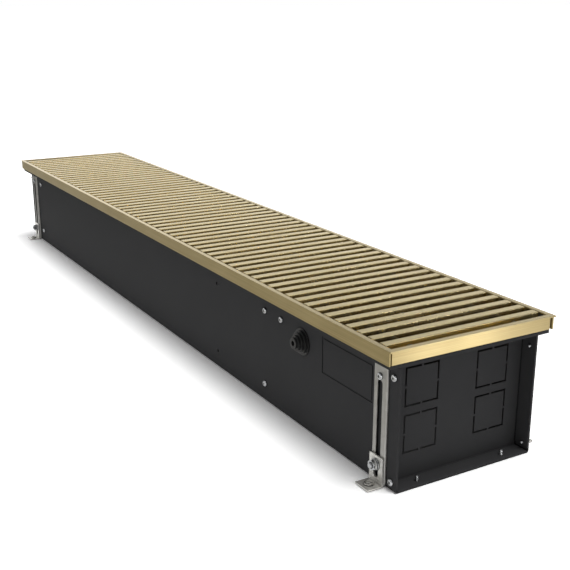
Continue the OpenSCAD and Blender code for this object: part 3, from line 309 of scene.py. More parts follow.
def facing_up(tree):
    """One on faces that look up, zero on walls."""
    normal = add_node(tree, "ShaderNodeNewGeometry").outputs["True Normal"]
    up = add_node(tree, "ShaderNodeSeparateXYZ", inputs={"Vector": normal}).outputs["Z"]
    return add_node(tree, "ShaderNodeMapRange", inputs={
        "Value": up, "From Min": WALL, "From Max": TOP}).outputs["Result"]


def brushed_aluminium(name, line_mm, tangent, tones, rough, stretch=1.0, painted_light_smooth_top=False):
    """line_mm is a scratch's size on each axis. Highlights stretch along the tangent."""
    material, tree, shader, place = new_material(name)
    along = add_node(tree, "ShaderNodeMapping", inputs={
        "Vector": place, "Scale": tuple(per(size) for size in line_mm)}).outputs["Vector"]
    lines = add_node(tree, "ShaderNodeTexNoise", inputs={
        "Vector": along, "Scale": 1.0, "Detail": 3.0, "Roughness": 0.6}).outputs["Fac"]
    clouds = add_node(tree, "ShaderNodeTexNoise", inputs={
        "Vector": place, "Scale": per(CLOUD_MM), "Detail": 2.0}).outputs["Fac"]
    colour = two_tones(tree, lines, *tones)
    roughness = add_node(tree, "ShaderNodeMapRange", inputs={
        "Value": clouds, **MIDDLE, "To Min": rough - 0.03, "To Max": rough + 0.04}).outputs["Result"]
    # Painted light: faces that look up blend to a paler tone, and to a smoother gloss.
    if painted_light_smooth_top:
        top = facing_up(tree)
        colour = add_node(tree, "ShaderNodeMix", {"data_type": "RGBA"}, {
            AMOUNT: top, FIRST: colour, SECOND: linear(TOP_PAINTED_LIGHT)}).outputs[MIXED]
        roughness = add_node(tree, "ShaderNodeMapRange", inputs={
            "Value": top, "To Min": roughness, "To Max": TOP_ROUGH}).outputs["Result"]
    direction = add_node(tree, "ShaderNodeCombineXYZ", inputs=dict(zip("XYZ", tangent)))
    fill(shader, {
        "Base Color": colour, "Metallic": 1.0, "Roughness": roughness,
        "Anisotropic": stretch, "Tangent": direction.outputs["Vector"],
        "Normal": relief(tree, lines, LINE_DEPTH_MM, PROFILE_EDGE_MM)})
    print(material.name, len(tree.nodes), "nodes")
    return material


materials["frame_anodised"] = brushed_aluminium(
    "anodised_aluminium_long_profile", (160, LINE_MM, LINE_MM), (0, 1, 1),
    CHAMPAGNE, 0.44, painted_light_smooth_top=True)
materials["frame_across"] = brushed_aluminium(
    "anodised_aluminium_end_profile", (LINE_MM, 160, LINE_MM), (1, 0, 1),
    END_SHADED_CHAMPAGNE, 0.44, painted_light_smooth_top=True)
materials["bar_anodised"] = brushed_aluminium(
    "anodised_aluminium_bar", (LINE_MM, 120, LINE_MM), (1, 0, 1), BAR_LIT_CHAMPAGNE, 0.24, 0.1)

# %% [markdown]
# Screws, nuts and foot brackets are steel with a bright zinc plate. The plate is a few microns thick
# and follows the metal, so it is a mirror blurred by the blank's own roughness, with a faint cloud
# where the bath ran off. One even roughness would look like plastic foil. A noise that moves tone
# and roughness together gives the cloud. The brackets and bushes are also passivated, which leaves
# a thin milky film over the zinc, so they are a little less than all metal. The brackets' copy is
# also paler than the screws': painted light, a tone that stands in for the pale floor they mirror.

# %% Zinc-plated steel
FINE_GRAIN_MM, PLATED_EDGE_MM = 0.9, 0.3


def clouded_metal(name, tones, rough, cloud_mm, depth_mm, metal=1.0):
    """A smooth metal whose tone and gloss wander together, in clouds of a real size."""
    material, tree, shader, place = new_material(name)
    clouds = add_node(tree, "ShaderNodeTexNoise", inputs={
        "Vector": place, "Scale": per(cloud_mm), "Detail": 4.0, "Roughness": 0.6}).outputs["Fac"]
    grain = add_node(tree, "ShaderNodeTexNoise", inputs={
        "Vector": place, "Scale": per(FINE_GRAIN_MM), "Detail": 2.0}).outputs["Fac"]
    roughness = add_node(tree, "ShaderNodeMapRange", inputs={
        "Value": clouds, **MIDDLE, "To Min": rough + 0.08, "To Max": rough - 0.04}).outputs["Result"]
    # The base colour carries painted shade in grooves, holes and corners.
    fill(shader, {
        "Base Color": painted_shade_in_hollows(tree, two_tones(tree, clouds, *tones)),
        "Metallic": metal, "Roughness": roughness,
        "Normal": relief(tree, grain, depth_mm, PLATED_EDGE_MM)})
    print(material.name, len(tree.nodes), "nodes")
    return material


materials["zinc_steel"] = clouded_metal(
    "bright_zinc_plated_steel", ("#b4b6b8", "#dcdedf"), 0.18, 7, 0.01)
# Painted light: the brackets' tones are paler than the screws' zinc.
materials["zinc_passivated_and_lit"] = clouded_metal(
    "steel_zinc_passivated_and_lit", ("#d8d6cf", "#f4f2ec"), 0.2, 9, 0.02, 0.65)
materials["bush_steel"] = clouded_metal(
    "zinc_plated_bush_steel", ("#bdbbb5", "#e6e4de"), 0.16, 5, 0.01, 0.9)
materials["shaft_steel"] = clouded_metal(
    "ground_steel", ("#aaadb0", "#c2c4c6"), 0.22, 12, 0.008)

# %% [markdown]
# The bars are threaded on two close-wound coil springs, which the CAD draws as smooth rods. A real
# helix of that length has nearly a thousand turns, and hardly one of them is seen between the bars.
# A wave across the rod gives one ridge for each turn of the wire instead: a painted highlight on its
# crown and painted shade in the groove, over a bump of the same wave. Blender's wave has a period of
# a tenth of pi at scale one, hence the factor.

# %% Close-wound spring
TURN_MM, TURN_DEPTH_MM, OIL_MM = 1.6, 0.4, 4

material, tree, shader, place = new_material("close_wound_spring_steel")
turns = add_node(tree, "ShaderNodeTexWave", {"bands_direction": "X"}, {
    "Vector": place, "Scale": math.pi / 10 * per(TURN_MM)}).outputs["Fac"]
# Painted highlight on each turn's crown, painted shade in its groove.
colour = add_node(tree, "ShaderNodeMix", {"data_type": "RGBA"}, {
    AMOUNT: turns, FIRST: linear("#4a4b4d"), SECOND: linear("#b0b2b4")}).outputs[MIXED]
film = add_node(tree, "ShaderNodeTexNoise", inputs={
    "Vector": place, "Scale": per(OIL_MM), "Detail": 3.0}).outputs["Fac"]
roughness = add_node(tree, "ShaderNodeMapRange", inputs={
    "Value": film, **MIDDLE, "To Min": 0.26, "To Max": 0.4}).outputs["Result"]
fill(shader, {"Base Color": colour, "Metallic": 1.0, "Roughness": roughness,
              "Normal": relief(tree, turns, TURN_DEPTH_MM)})
materials["spring_steel"] = material
print(material.name, len(tree.nodes), "nodes")

# %% [markdown]
# The foot rails, the fan's air guide and its saddles are hot-dip galvanised sheet. As the zinc
# freezes it grows crystals, the spangle, 5 to 12 mm across, each with its own tilt and so its own
# grey. A noise has no such borders, but a Voronoi texture has just such cells, and each cell's
# random colour drives brightness and roughness together. A second noise bends their straight sides.

# %% Galvanised steel
SPANGLE_MM, WOBBLE_MM, SKIN_MM = 9, 6, 1.2
BEND = (4 * MM,) * 3

material, tree, shader, place = new_material("galvanised_sheet_steel")
wobble = add_node(tree, "ShaderNodeTexNoise", inputs={
    "Vector": place, "Scale": per(WOBBLE_MM), "Detail": 2.0}).outputs["Fac"]
bent = add_node(tree, "ShaderNodeVectorMath", {"operation": "MULTIPLY_ADD"}, {
    0: wobble, 1: BEND, 2: place}).outputs["Vector"]
spangle = add_node(tree, "ShaderNodeTexVoronoi", inputs={"Vector": bent, "Scale": per(SPANGLE_MM)})
tilt = add_node(tree, "ShaderNodeSeparateColor", inputs={
    "Color": spangle.outputs["Color"]}).outputs["Red"]
colour = add_node(tree, "ShaderNodeMix", {"data_type": "RGBA"}, {
    AMOUNT: tilt, FIRST: linear("#adaca8"), SECOND: linear("#bcbbb7")}).outputs[MIXED]
roughness = add_node(tree, "ShaderNodeMapRange", inputs={
    "Value": tilt, "To Min": 0.36, "To Max": 0.5}).outputs["Result"]
skin = add_node(tree, "ShaderNodeTexNoise", inputs={
    "Vector": place, "Scale": per(SKIN_MM), "Detail": 2.0}).outputs["Fac"]
fill(shader, {"Base Color": colour, "Metallic": 1.0, "Roughness": roughness,
              "Normal": relief(tree, skin, 0.015, 0.4)})
materials["galvanised_steel"] = material
print(material.name, len(tree.nodes), "nodes")

# %% [markdown]
# The cable entry, the seal strips and the bearing seats are EPDM rubber, moulded or extruded. Rubber
# scatters what little light it returns, so it is nearly black, with a broad soft highlight on every
# step. The spacers, the terminal box and the terminal block are injection-moulded plastic, and the
# motor's can is enamelled. Each could have a network of its own, but they share the same recipe: a
# fine grain from the mould or the spray, a tone that drifts slowly, and an IOR near 1.5.

# %% Rubber, moulded plastics and enamel
DRIFT_MM, MOULDED_EDGE_MM = 25, 0.3


def moulded(name, tones, rough, grain_mm, depth_mm, ior):
    """A moulded or sprayed skin, with a fine grain in its gloss and a slow drift in its tone."""
    material, tree, shader, place = new_material(name)
    grain = add_node(tree, "ShaderNodeTexNoise", inputs={
        "Vector": place, "Scale": per(grain_mm), "Detail": 3.0}).outputs["Fac"]
    drift = add_node(tree, "ShaderNodeTexNoise", inputs={
        "Vector": place, "Scale": per(DRIFT_MM), "Detail": 3.0}).outputs["Fac"]
    roughness = add_node(tree, "ShaderNodeMapRange", inputs={
        "Value": grain, **MIDDLE, "To Min": rough - 0.05, "To Max": rough + 0.06}).outputs["Result"]
    fill(shader, {
        "Base Color": two_tones(tree, drift, *tones), "Roughness": roughness, "IOR": ior,
        "Normal": relief(tree, grain, depth_mm, MOULDED_EDGE_MM)})
    print(material.name, len(tree.nodes), "nodes")
    return material


# For each slot: name, two tones, roughness, grain and its depth in mm, and IOR.
SKINS = {
    "rubber_black": ("epdm_rubber", ("#262626", "#1d1d1d"), 0.34, 1.1, 0.02, 1.52),
    "spacer_plastic": ("black_polyamide", ("#1f1f22", "#17171a"), 0.48, 0.9, 0.02, 1.53),
    "grey_plastic": ("grey_abs", ("#909292", "#9a9c9c"), 0.42, 0.9, 0.02, 1.54),
    "white_plastic": ("white_polyamide", ("#d6d3c8", "#e2e0d8"), 0.4, 0.9, 0.01, 1.53),
    "cable_sheath": ("pvc_cable_sheath", ("#1c1c1d", "#151516"), 0.4, 1.6, 0.02, 1.53),
    "motor_paint": ("stoved_enamel", ("#323336", "#2b2c2e"), 0.34, 1.5, 0.02, 1.5)}
for slot, skin in SKINS.items():
    materials[slot] = moulded(*skin)

# %% [markdown]
# The heat exchanger is drawn copper tube in aluminium fins, with brass sockets, and the fan's shaft
# runs in sintered bronze. Copper darkens in the hand and in air, so its colour wanders between
# bright salmon and brown: the zinc's recipe in other tones. Rolled stock for fins and fan wheels is
# bright and smooth with a faint rolling line, which is the brushed recipe without a dye.

# %% Copper, brass, bronze and rolled aluminium
materials["copper"] = clouded_metal("drawn_copper", ("#a5644a", "#d08e6b"), 0.28, 14, 0.01)
materials["brass"] = clouded_metal("machined_brass", ("#c0a05e", "#d9bd7c"), 0.26, 9, 0.01)
materials["bronze"] = clouded_metal("sintered_bronze", ("#8e6c40", "#b08a56"), 0.42, 2, 0.03)
materials["fin_aluminium"] = brushed_aluminium(
    "rolled_aluminium_fin", (8, LINE_MM, 70), (0, 1, 0), ("#bfc2c4", "#d4d6d8"), 0.3)
materials["wheel_aluminium"] = brushed_aluminium(
    "rolled_aluminium_wheel", (90, 1.2, 1.2), (0, 1, 1), ("#b9bcbf", "#cfd1d3"), 0.32)

# %% [markdown]
# Every CAD node names a material slot in the record, so one loop dresses them all, and no list has
# to be kept up by hand. Two kinds need a second look. The frame's brushing follows each profile, so
# the two end profiles take the copy whose lines run across, with its darker tone of painted shade.
# The foot brackets share the screws' slot, but are passivated, and take the copy with the paler tone
# of painted light.

# %% Dress the CAD nodes
SPECIAL = {"frame_near": "frame_across", "frame_far": "frame_across"}
SPECIAL.update({name: "zinc_passivated_and_lit" for name in nodes if name.startswith("foot_bracket")})
slot_of = {part["node"]: part["material_slot"] for part in frame["record"]["subparts"]}


def dress(obj, material):
    """Replaces every material of an object."""
    obj.data.materials.clear()
    obj.data.materials.append(material)


for name, obj in nodes.items():
    dress(obj, materials[SPECIAL.get(name, slot_of[name])])
dress(lead, materials["cable_sheath"])
print("dressed", len(nodes), "nodes")

# %% [markdown]
# Screws, nuts, washers, bushes and sockets are all turned on a lathe, or nearly: a hexagon is a round
# bar whose radius changes with the angle, and a thread is one whose radius changes with angle and
# height together. They could be carved from cylinders with Booleans, but one function that builds
# them from rows gives real threads and real chamfers with far fewer faces. A row is a height with an
# outer and perhaps an inner radius, and both radii may be a number or a rule of the angle.

# %% One function for every turned piece
UNCUT = 1000.0
M5 = {"radius": 2.4, "depth": 0.42, "pitch": 0.8}
M8 = {"radius": 4.0, "depth": 0.65, "pitch": 1.25}


def turned_body(rows, steps):
    """Points and faces from rows of (height, outer) or (height, outer, inner) in mm, low to high."""
    points, faces = [], []

    def ring(height, radius):
        for k in range(steps):
            angle = 2 * math.pi * k / steps
            r = radius(angle) if callable(radius) else radius
            points.append(Vector((r * math.cos(angle), r * math.sin(angle), height)) * MM)
        return len(points) - steps

    def band(low, high, flip):
        for k in range(steps):
            m = (k + 1) % steps
            face = (low + k, low + m, high + m, high + k)
            faces.append(face[::-1] if flip else face)

    outer = [ring(row[0], row[1]) for row in rows]
    for low, high in zip(outer, outer[1:]):
        band(low, high, False)
    if len(rows[0]) == 3:
        inner = [ring(row[0], row[2]) for row in rows]
        for low, high in zip(inner, inner[1:]):
            band(low, high, True)
        band(outer[0], inner[0], True)
        band(outer[-1], inner[-1], False)
    else:
        faces.append(tuple(range(outer[0], outer[0] + steps))[::-1])
        faces.append(tuple(range(outer[-1], outer[-1] + steps)))
    return points, faces


def hexagon(flats, limit=UNCUT):
    """Radius of a hexagon of that width, cut off by a chamfer of radius limit."""
    sixth = math.pi / 3
    return lambda angle: min(flats / 2 / math.cos((angle + sixth / 2) % sixth - sixth / 2), limit)


def square(side, limit):
    """Radius of a square of that side, with its corners cut off at a radius of limit."""
    return lambda angle: min(side / 2 / max(abs(math.cos(angle)), abs(math.sin(angle))), limit)


def thread(height, radius, depth, pitch):
    """Radius of a V thread at a height: it falls by its depth and comes back once a turn."""
    return lambda angle: radius - depth * abs(2 * ((height / pitch - angle / (2 * math.pi)) % 1) - 1)


def threaded_rows(low, high, radius, depth, pitch, steps_per_turn=5):
    """Rows of a threaded rod between two heights."""
    count = round((high - low) / pitch * steps_per_turn)
    heights = [low + (high - low) * i / count for i in range(count + 1)]
    return [(h, thread(h, radius, depth, pitch)) for h in heights]


print("an M8 thread's groove is at", round(thread(0.0, **M8)(0.0), 3), "mm from its axis")

# %% [markdown]
# A piece is several such bodies in one mesh, each turned to its place. Turned steel is smooth round
# its axis and sharp along its edges, so the shading is soft but keeps every edge of more than 35
# degrees. Three things are said of each piece: the body that it moves with, the slot that its finish
# comes from, and the CAD node that it stands for. They could be said one by one for each piece, but
# one function can't leave one out.

# %% From points to a finished piece
SHARP_FROM = math.radians(35)


def mesh_of(name, parts):
    """One mesh from several (points, faces, placing matrix), with soft shading but sharp edges."""
    points, faces = [], []
    for part_points, part_faces, where in parts:
        start = len(points)
        points += [where @ p for p in part_points]
        faces += [[i + start for i in face] for face in part_faces]
    mesh = bpy.data.meshes.new(name)
    mesh.from_pydata(points, [], faces)
    mesh.validate()
    mesh.shade_smooth()
    mesh.set_sharp_from_angle(angle=SHARP_FROM)
    return mesh


def piece(name, parts, body, slot, replaced):
    """A finished piece that rides on a body and stands for a CAD node."""
    obj = link(bpy.data.objects.new(name, mesh_of(name, parts)))
    dress(obj, materials[slot])
    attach(obj, body)
    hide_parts(replaced)
    print(name, len(obj.data.vertices), "vertices")


def at(x, y, z):
    """A place in mm."""
    return Matrix.Translation(Vector((x, y, z)) * MM)


def outward(x, side, away, z):
    """Places a piece whose own Z points out of the trough: side is -1 for the room side."""
    return at(x, side * away, z) @ Matrix.Rotation(-side * math.pi / 2, 4, "X")


print("edges of more than", round(math.degrees(SHARP_FROM)), "degrees stay sharp")

# %% [markdown]
# The trough is held together by M5 pan-head screws. In the photograph each head is a small dome with
# a bright rim and a dark cross. The cross could be a dark mark in the material, but a real recess
# catches light on its walls. So the dome is turned, and the cross is cut by a Boolean with two
# crossed, tapered blades, which is how the punch makes it. One head serves all the screws.

# %% Pan-head screws
HEAD_R, HEAD_H, CROSS_DEPTH, HEAD_STEPS = 5.0, 3.2, 1.6, 32
HEAD_EASE, RIM_H, CROWN_R, CENTRE_R = 0.15, 0.7, 2.4, 0.6
DOME_STEPS = 6
# The blade's half length and half width, at its bottom and a millimetre over the head.
BLADE_TIP, BLADE_ROOT = (0.7, 0.35), (2.9, 0.85)
SCREW_STEPS = 24
TIP_H, TIP_IN, SUNK = 0.6, 0.9, 0.05


def carved(name, body, cutter):
    """Points and faces of one solid less another, by Blender's exact Boolean."""
    target = link(bpy.data.objects.new(name, mesh_of(name, [(*body, Matrix())])))
    tool = link(bpy.data.objects.new(name + "_tool", mesh_of(name + "_tool", cutter)))
    cut = target.modifiers.new("cross", "BOOLEAN")
    cut.operation, cut.object, cut.solver = "DIFFERENCE", tool, "EXACT"
    bpy.context.view_layer.update()
    mesh = as_mesh(target)
    found = [v.co.copy() for v in mesh.vertices], [list(face.vertices) for face in mesh.polygons]
    for obj in (target, tool):
        bpy.data.objects.remove(obj)
    return found


def blade(turn):
    """One tapered blade of the cross: wide at the head's top, narrow at its bottom."""
    corners = []
    for z, (length, width) in ((HEAD_H - CROSS_DEPTH, BLADE_TIP), (HEAD_H + 1, BLADE_ROOT)):
        corners += [Vector((x, y, z)) * MM for x, y in (
            (-length, -width), (length, -width), (length, width), (-length, width))]
    sides = [(3, 2, 1, 0), (4, 5, 6, 7), (0, 1, 5, 4), (1, 2, 6, 5), (2, 3, 7, 6), (3, 0, 4, 7)]
    return corners, sides, Matrix.Rotation(turn, 4, "Z")


dome = [(0.0, HEAD_R - HEAD_EASE), (HEAD_EASE, HEAD_R)]
for k in range(DOME_STEPS + 1):
    angle = math.pi / 2 * k / DOME_STEPS
    dome.append((RIM_H + (HEAD_H - RIM_H) * math.sin(angle),
                 CROWN_R + (HEAD_R - CROWN_R) * math.cos(angle)))
dome.append((HEAD_H, CENTRE_R))
head = turned_body(dome, HEAD_STEPS)
for turn in (0, math.pi / 2):
    head = carved("screw_head", head, [blade(turn)])


def screw(length, where):
    """A head and its threaded shank, which points along -Z and ends in a blunt tip."""
    rows = [(-length, M5["radius"] - TIP_IN)] + threaded_rows(-length + TIP_H, SUNK, **M5)
    return [(*head, where), (*turned_body(rows, SCREW_STEPS), where)]


print("screw head", len(head[0]), "points")

# %% [markdown]
# The screws' places are the CAD's: four in each long side for the end panels, four for the rails,
# eight for the inner supports and one for the terminal box. Each could be placed by hand, but the
# trough is the same at both ends and on both sides, so loops over the signs of X and Y do it. Four
# countersunk studs come up through the floor into the end panels.

# %% Screws and studs in their places
SIDES, ENDS = (-1, 1), (-1, 1)
WALL_FACE, RAIL_FACE = 115, 118.6
END_X, END_HEIGHTS, END_LENGTH = 781.5, (12, 156), 6.5
RAIL_X, RAIL_HEIGHT, RAIL_LENGTH = 756.5, 150.5, 8.5
SUPPORT_PLACES, SUPPORT_HEIGHTS, SUPPORT_LENGTH = (454, -711), (29, 149), 6.5
TERMINAL_X, TERMINAL_HEIGHT, TERMINAL_LENGTH = 503, 149, 5.3
STUD_Y, STUD_HEAD_R, STUD_HEAD_H, STUD_TO, STUD_TIP_IN = 73, 3.9, 1.5, 10.6, 0.7

piece("end_pan_screws", [
    part for x in ENDS for side in SIDES for z in END_HEIGHTS
    for part in screw(END_LENGTH, outward(x * END_X, side, WALL_FACE, z))],
    "casing", "zinc_steel", "end_screws")
piece("rail_pan_screws", [
    part for x in ENDS for side in SIDES
    for part in screw(RAIL_LENGTH, outward(x * RAIL_X, side, RAIL_FACE, RAIL_HEIGHT))],
    "casing", "zinc_steel", "rail_screws")
terminal_screw = screw(TERMINAL_LENGTH, outward(TERMINAL_X, -1, WALL_FACE, TERMINAL_HEIGHT))
piece("support_pan_screws", [
    part for x in SUPPORT_PLACES for side in SIDES for z in SUPPORT_HEIGHTS
    for part in screw(SUPPORT_LENGTH, outward(x, side, WALL_FACE, z))] + terminal_screw,
    "casing", "zinc_steel", "support_screws")
stud = turned_body(
    [(0, STUD_HEAD_R), (STUD_HEAD_H, M5["radius"])]
    + threaded_rows(STUD_HEAD_H + 0.1, STUD_TO - 0.5, **M5)
    + [(STUD_TO, M5["radius"] - STUD_TIP_IN)], SCREW_STEPS)
piece("floor_studs", [(*stud, at(x * END_X, side * STUD_Y, 0)) for x in ENDS for side in SIDES],
      "casing", "zinc_steel", "end_studs")

# %% [markdown]
# Each foot is clamped to its rail by an M8 bolt. Its flat square head sits behind the rail, and a
# washer and a 13 mm nut are outside. The nut's corners are cut by a 30 degree chamfer on both faces,
# which leaves the curved edges that catch the light. A Bevel modifier would cut straight edges, but
# here each row's hexagon is simply cut off at the chamfer's radius.

# %% Clamps of the feet
# The CAD gives the clamp's height, and how far its bolt reaches, as its bounding box.
clamp_box = [[v / MM for v in corner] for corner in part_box("foot_clamp_near_back")]
CLAMP_Z = (clamp_box[0][2] + clamp_box[1][2]) / 2
HEAD_BACK, BOLT_TO = clamp_box[0][1], clamp_box[1][1]
FLAT_T, FLAT_EASE, FLAT_STEPS = 1.6, 0.2, 40
FLAT_SIDE, FLAT_CORNER = (16.6, 17), (11, 11.2)
NECK_TO, BOLT_TIP_H, BOLT_TIP_R, BOLT_STEPS, BOLT_END = 2.4, 0.7, 3.1, 32, 2.5
WASHER_T, WASHER_R, WASHER_BORE, WASHER_STEPS = 1.6, 8.0, 4.1, 48
NUT_T, NUT_FLATS, NUT_BORE, NUT_STEPS, PLAY = 6.5, 13, 4.1, 72, 0.1
# A chamfer of 30 degrees widens the radius by 1.7 for each millimetre of height.
CHAMFER_R, CHAMFER_SLOPE, CHAMFER_ROWS = 6.6, 1.7, (0.25, 0.5)
FACE_R, FACE_H, MOUTH_R = 6.2, 0.02, 4.4
NUT_FROM = BOLT_TO - BOLT_END - NUT_T


def nut_rows(start, height):
    """Rows of a hexagon nut whose corners are cut off at both faces."""
    cut = [(t, hexagon(NUT_FLATS, CHAMFER_R + t * CHAMFER_SLOPE), NUT_BORE) for t in CHAMFER_ROWS]
    rows = [(0, FACE_R, MOUTH_R + 0.1), (FACE_H, hexagon(NUT_FLATS, CHAMFER_R), MOUTH_R)] + cut
    rows += [(height - t, outer, inner) for t, outer, inner in reversed(cut)]
    rows += [(height - FACE_H, hexagon(NUT_FLATS, CHAMFER_R), MOUTH_R),
             (height, FACE_R, MOUTH_R + 0.2)]
    return [(start + t, outer, inner) for t, outer, inner in rows]


def clamp_parts(x, side):
    """The bolt with its flat head, the washer and the nut of one foot."""
    eased, full = [square(width, corner) for width, corner in zip(FLAT_SIDE, FLAT_CORNER)]
    flat = turned_body([(0, eased), (FLAT_EASE, full), (FLAT_T - FLAT_EASE, full),
                        (FLAT_T, eased)], FLAT_STEPS)
    reach = BOLT_TO - HEAD_BACK
    bolt = turned_body(
        [(FLAT_T, M8["radius"]), (NECK_TO, M8["radius"])]
        + threaded_rows(NECK_TO + 0.1, reach - BOLT_TIP_H, **M8)
        + [(reach, BOLT_TIP_R)], BOLT_STEPS)
    low = NUT_FROM - WASHER_T - HEAD_BACK
    washer = turned_body(
        [(low, WASHER_R - 0.2, WASHER_BORE + 0.1), (low + 0.2, WASHER_R, WASHER_BORE),
         (low + WASHER_T - 0.2, WASHER_R, WASHER_BORE),
         (low + WASHER_T, WASHER_R - 0.2, WASHER_BORE + 0.1)], WASHER_STEPS)
    nut = turned_body(nut_rows(low + WASHER_T + PLAY, NUT_T - PLAY), NUT_STEPS)
    where = outward(x, side, HEAD_BACK, CLAMP_Z)
    return [(*part, where) for part in (flat, bolt, washer, nut)]


print("clamp's bolt reaches", round(BOLT_TO - HEAD_BACK, 2), "mm from the back of its head")

# %% [markdown]
# Below the clamp, a bush with a hexagon rim stands in the foot's plate and takes the floor anchor. It
# could be a plain ring at this size, but in the photograph its rim throws back several small lights,
# so its flats, chamfers and bore are all there. Each foot slides on its own, so its clamp and its
# bush ride on that foot's body.

# %% Bushes, and a clamp and a bush on each foot
BUSH_Y, BUSH_FLATS, BUSH_BORE, BUSH_R, BUSH_STEPS = 131.5, 12.5, 4.2, 5.2, 72
RIM_FROM, RIM_TO, RIM_FACE_R, RIM_CORNER = 2.6, 4.9, 5.9, 7.0


def bush_parts(x, side):
    """A sleeve that goes through the foot's plate, with a hexagon rim on top of it."""
    rim = hexagon(BUSH_FLATS, RIM_CORNER)
    rows = [(0, BUSH_R - 0.3, BUSH_BORE + 0.2), (0.3, BUSH_R, BUSH_BORE),
            (RIM_FROM - 0.1, BUSH_R, BUSH_BORE), (RIM_FROM, RIM_FACE_R, BUSH_BORE),
            (RIM_FROM + FACE_H, hexagon(BUSH_FLATS, RIM_CORNER - 0.6), BUSH_BORE),
            (RIM_FROM + 0.4, rim, BUSH_BORE), (RIM_TO - 0.6, rim, BUSH_BORE),
            (RIM_TO - 0.15, hexagon(BUSH_FLATS, RIM_CORNER - 0.7), BUSH_BORE + 0.2),
            (RIM_TO, RIM_FACE_R, BUSH_BORE + 0.5)]
    return [(*turned_body(rows, BUSH_STEPS), at(x, side * BUSH_Y, 0))]


for end_name, x in (("near", RAIL_X), ("far", -RAIL_X)):
    for side_name, side in (("front", -1), ("back", 1)):
        foot = f"{end_name}_{side_name}"
        body = "foot_" + foot
        piece("clamp_" + foot, clamp_parts(x, side), body, "zinc_steel", "foot_clamp_" + foot)
        piece("anchor_bush_" + foot, bush_parts(x, side), body, "bush_steel", "foot_bush_" + foot)

# %% [markdown]
# The exchanger's two pipe sockets are hexagon brass with a half-inch pipe thread. A Screw modifier
# could wind the thread, but then the hexagon would have to be joined to it. The turned rows give
# both at once: the thread starts at the mouth and stops at the shoulder where the copper tube is
# brazed in, and its grooves are cut outwards from the core bore that the CAD gives.

# %% Pipe sockets
SOCKET_X, SOCKET_Y, SOCKET_HEIGHTS = 477, -59.5, (65.6, 131.6)
SOCKET_FLATS, SOCKET_LENGTH, SOCKET_CORNER, SOCKET_STEPS = 25, 24, 13.2, 72
TUBE_R, SHOULDER, CORE_R = 5.2, 10.0, 9.3
PIPE_DEPTH, PIPE_PITCH = 1.1, 1.814
THREAD_FROM, THREAD_STEP, THREAD_ROWS = 10.4, 0.36, 35


def socket_parts(z):
    """One socket: a hexagon outside, the tube's bore, a shoulder and the pipe thread inside."""
    full, cut = hexagon(SOCKET_FLATS), hexagon(SOCKET_FLATS, SOCKET_CORNER)
    groove = CORE_R + PIPE_DEPTH
    rows = [(0, cut, TUBE_R + 0.8), (0.6, full, TUBE_R), (SHOULDER, full, TUBE_R),
            (SHOULDER + 0.01, full, CORE_R)]
    rows += [(h, full, thread(h, groove, PIPE_DEPTH, PIPE_PITCH))
             for h in [THREAD_FROM + THREAD_STEP * i for i in range(THREAD_ROWS)]]
    rows += [(SOCKET_LENGTH - 0.8, full, groove),
             (SOCKET_LENGTH - 0.4, hexagon(SOCKET_FLATS, SOCKET_CORNER + 0.6), groove),
             (SOCKET_LENGTH, cut, groove + 0.3)]
    along_x = Matrix.Rotation(math.pi / 2, 4, "Y") @ Matrix.Rotation(math.pi / 6, 4, "Z")
    return [(*turned_body(rows, SOCKET_STEPS), at(SOCKET_X, SOCKET_Y, z) @ along_x)]


piece("brass_pipe_sockets", [part for z in SOCKET_HEIGHTS for part in socket_parts(z)],
      "casing", "brass", "pipe_sockets")

# %% [markdown]
# The stage is a wide pale floor. The photograph's background is pure white with a soft shadow on the
# room side, so the floor is matt paper that takes the shadow. More light would whiten it too, but
# the heater with it. Instead, camera rays see its colour raised until the open floor is white, and
# mirror rays see it glow a little. Rays that only carry light see plain paper.

# %% Floor
STAGE_HALF, STAGE_Z = 60, -0.5 * MM
PAPER = "#f7f7f7"
PAPER_SEEN = (1.35, 1.35, 1.35, 1)
PAPER_GLOW = 0.09


def flat_sheet(name, x_from, x_to, y_from, y_to, z, material):
    """One level face."""
    mesh = bpy.data.meshes.new(name)
    mesh.from_pydata([(x_from, y_from, z), (x_to, y_from, z), (x_to, y_to, z), (x_from, y_to, z)],
                     [], [(0, 1, 2, 3)])
    sheet = link(bpy.data.objects.new(name, mesh))
    dress(sheet, material)
    return sheet


def seen_directly(tree):
    """One for camera, mirror and glass rays, and zero for those that only carry light."""
    rays = add_node(tree, "ShaderNodeLightPath").outputs
    either = add_node(tree, "ShaderNodeMath", {"operation": "MAXIMUM"}, {
        0: rays["Is Camera Ray"], 1: rays["Is Glossy Ray"]})
    return add_node(tree, "ShaderNodeMath", {"operation": "MAXIMUM"}, {
        0: either.outputs["Value"], 1: rays["Is Transmission Ray"]}).outputs["Value"]


material, tree, shader, place = new_material("pale_floor")
camera_ray = add_node(tree, "ShaderNodeLightPath").outputs["Is Camera Ray"]
tone = add_node(tree, "ShaderNodeMix", {"data_type": "RGBA"}, {
    AMOUNT: camera_ray, FIRST: linear(PAPER), SECOND: PAPER_SEEN}).outputs[MIXED]
paper = add_node(tree, "ShaderNodeBsdfDiffuse", inputs={"Color": tone, "Roughness": 0.0})
mirror_ray = add_node(tree, "ShaderNodeMath", {"operation": "SUBTRACT"}, {
    0: seen_directly(tree), 1: camera_ray}).outputs["Value"]
glow_level = add_node(tree, "ShaderNodeMath", {"operation": "MULTIPLY"}, {
    0: mirror_ray, 1: PAPER_GLOW}).outputs["Value"]
glow = add_node(tree, "ShaderNodeEmission", inputs={
    "Color": linear("#ffffff"), "Strength": glow_level})
seen = add_node(tree, "ShaderNodeAddShader", inputs={
    0: paper.outputs["BSDF"], 1: glow.outputs["Emission"]})
fill(tree.nodes["Material Output"], {"Surface": seen.outputs["Shader"]})
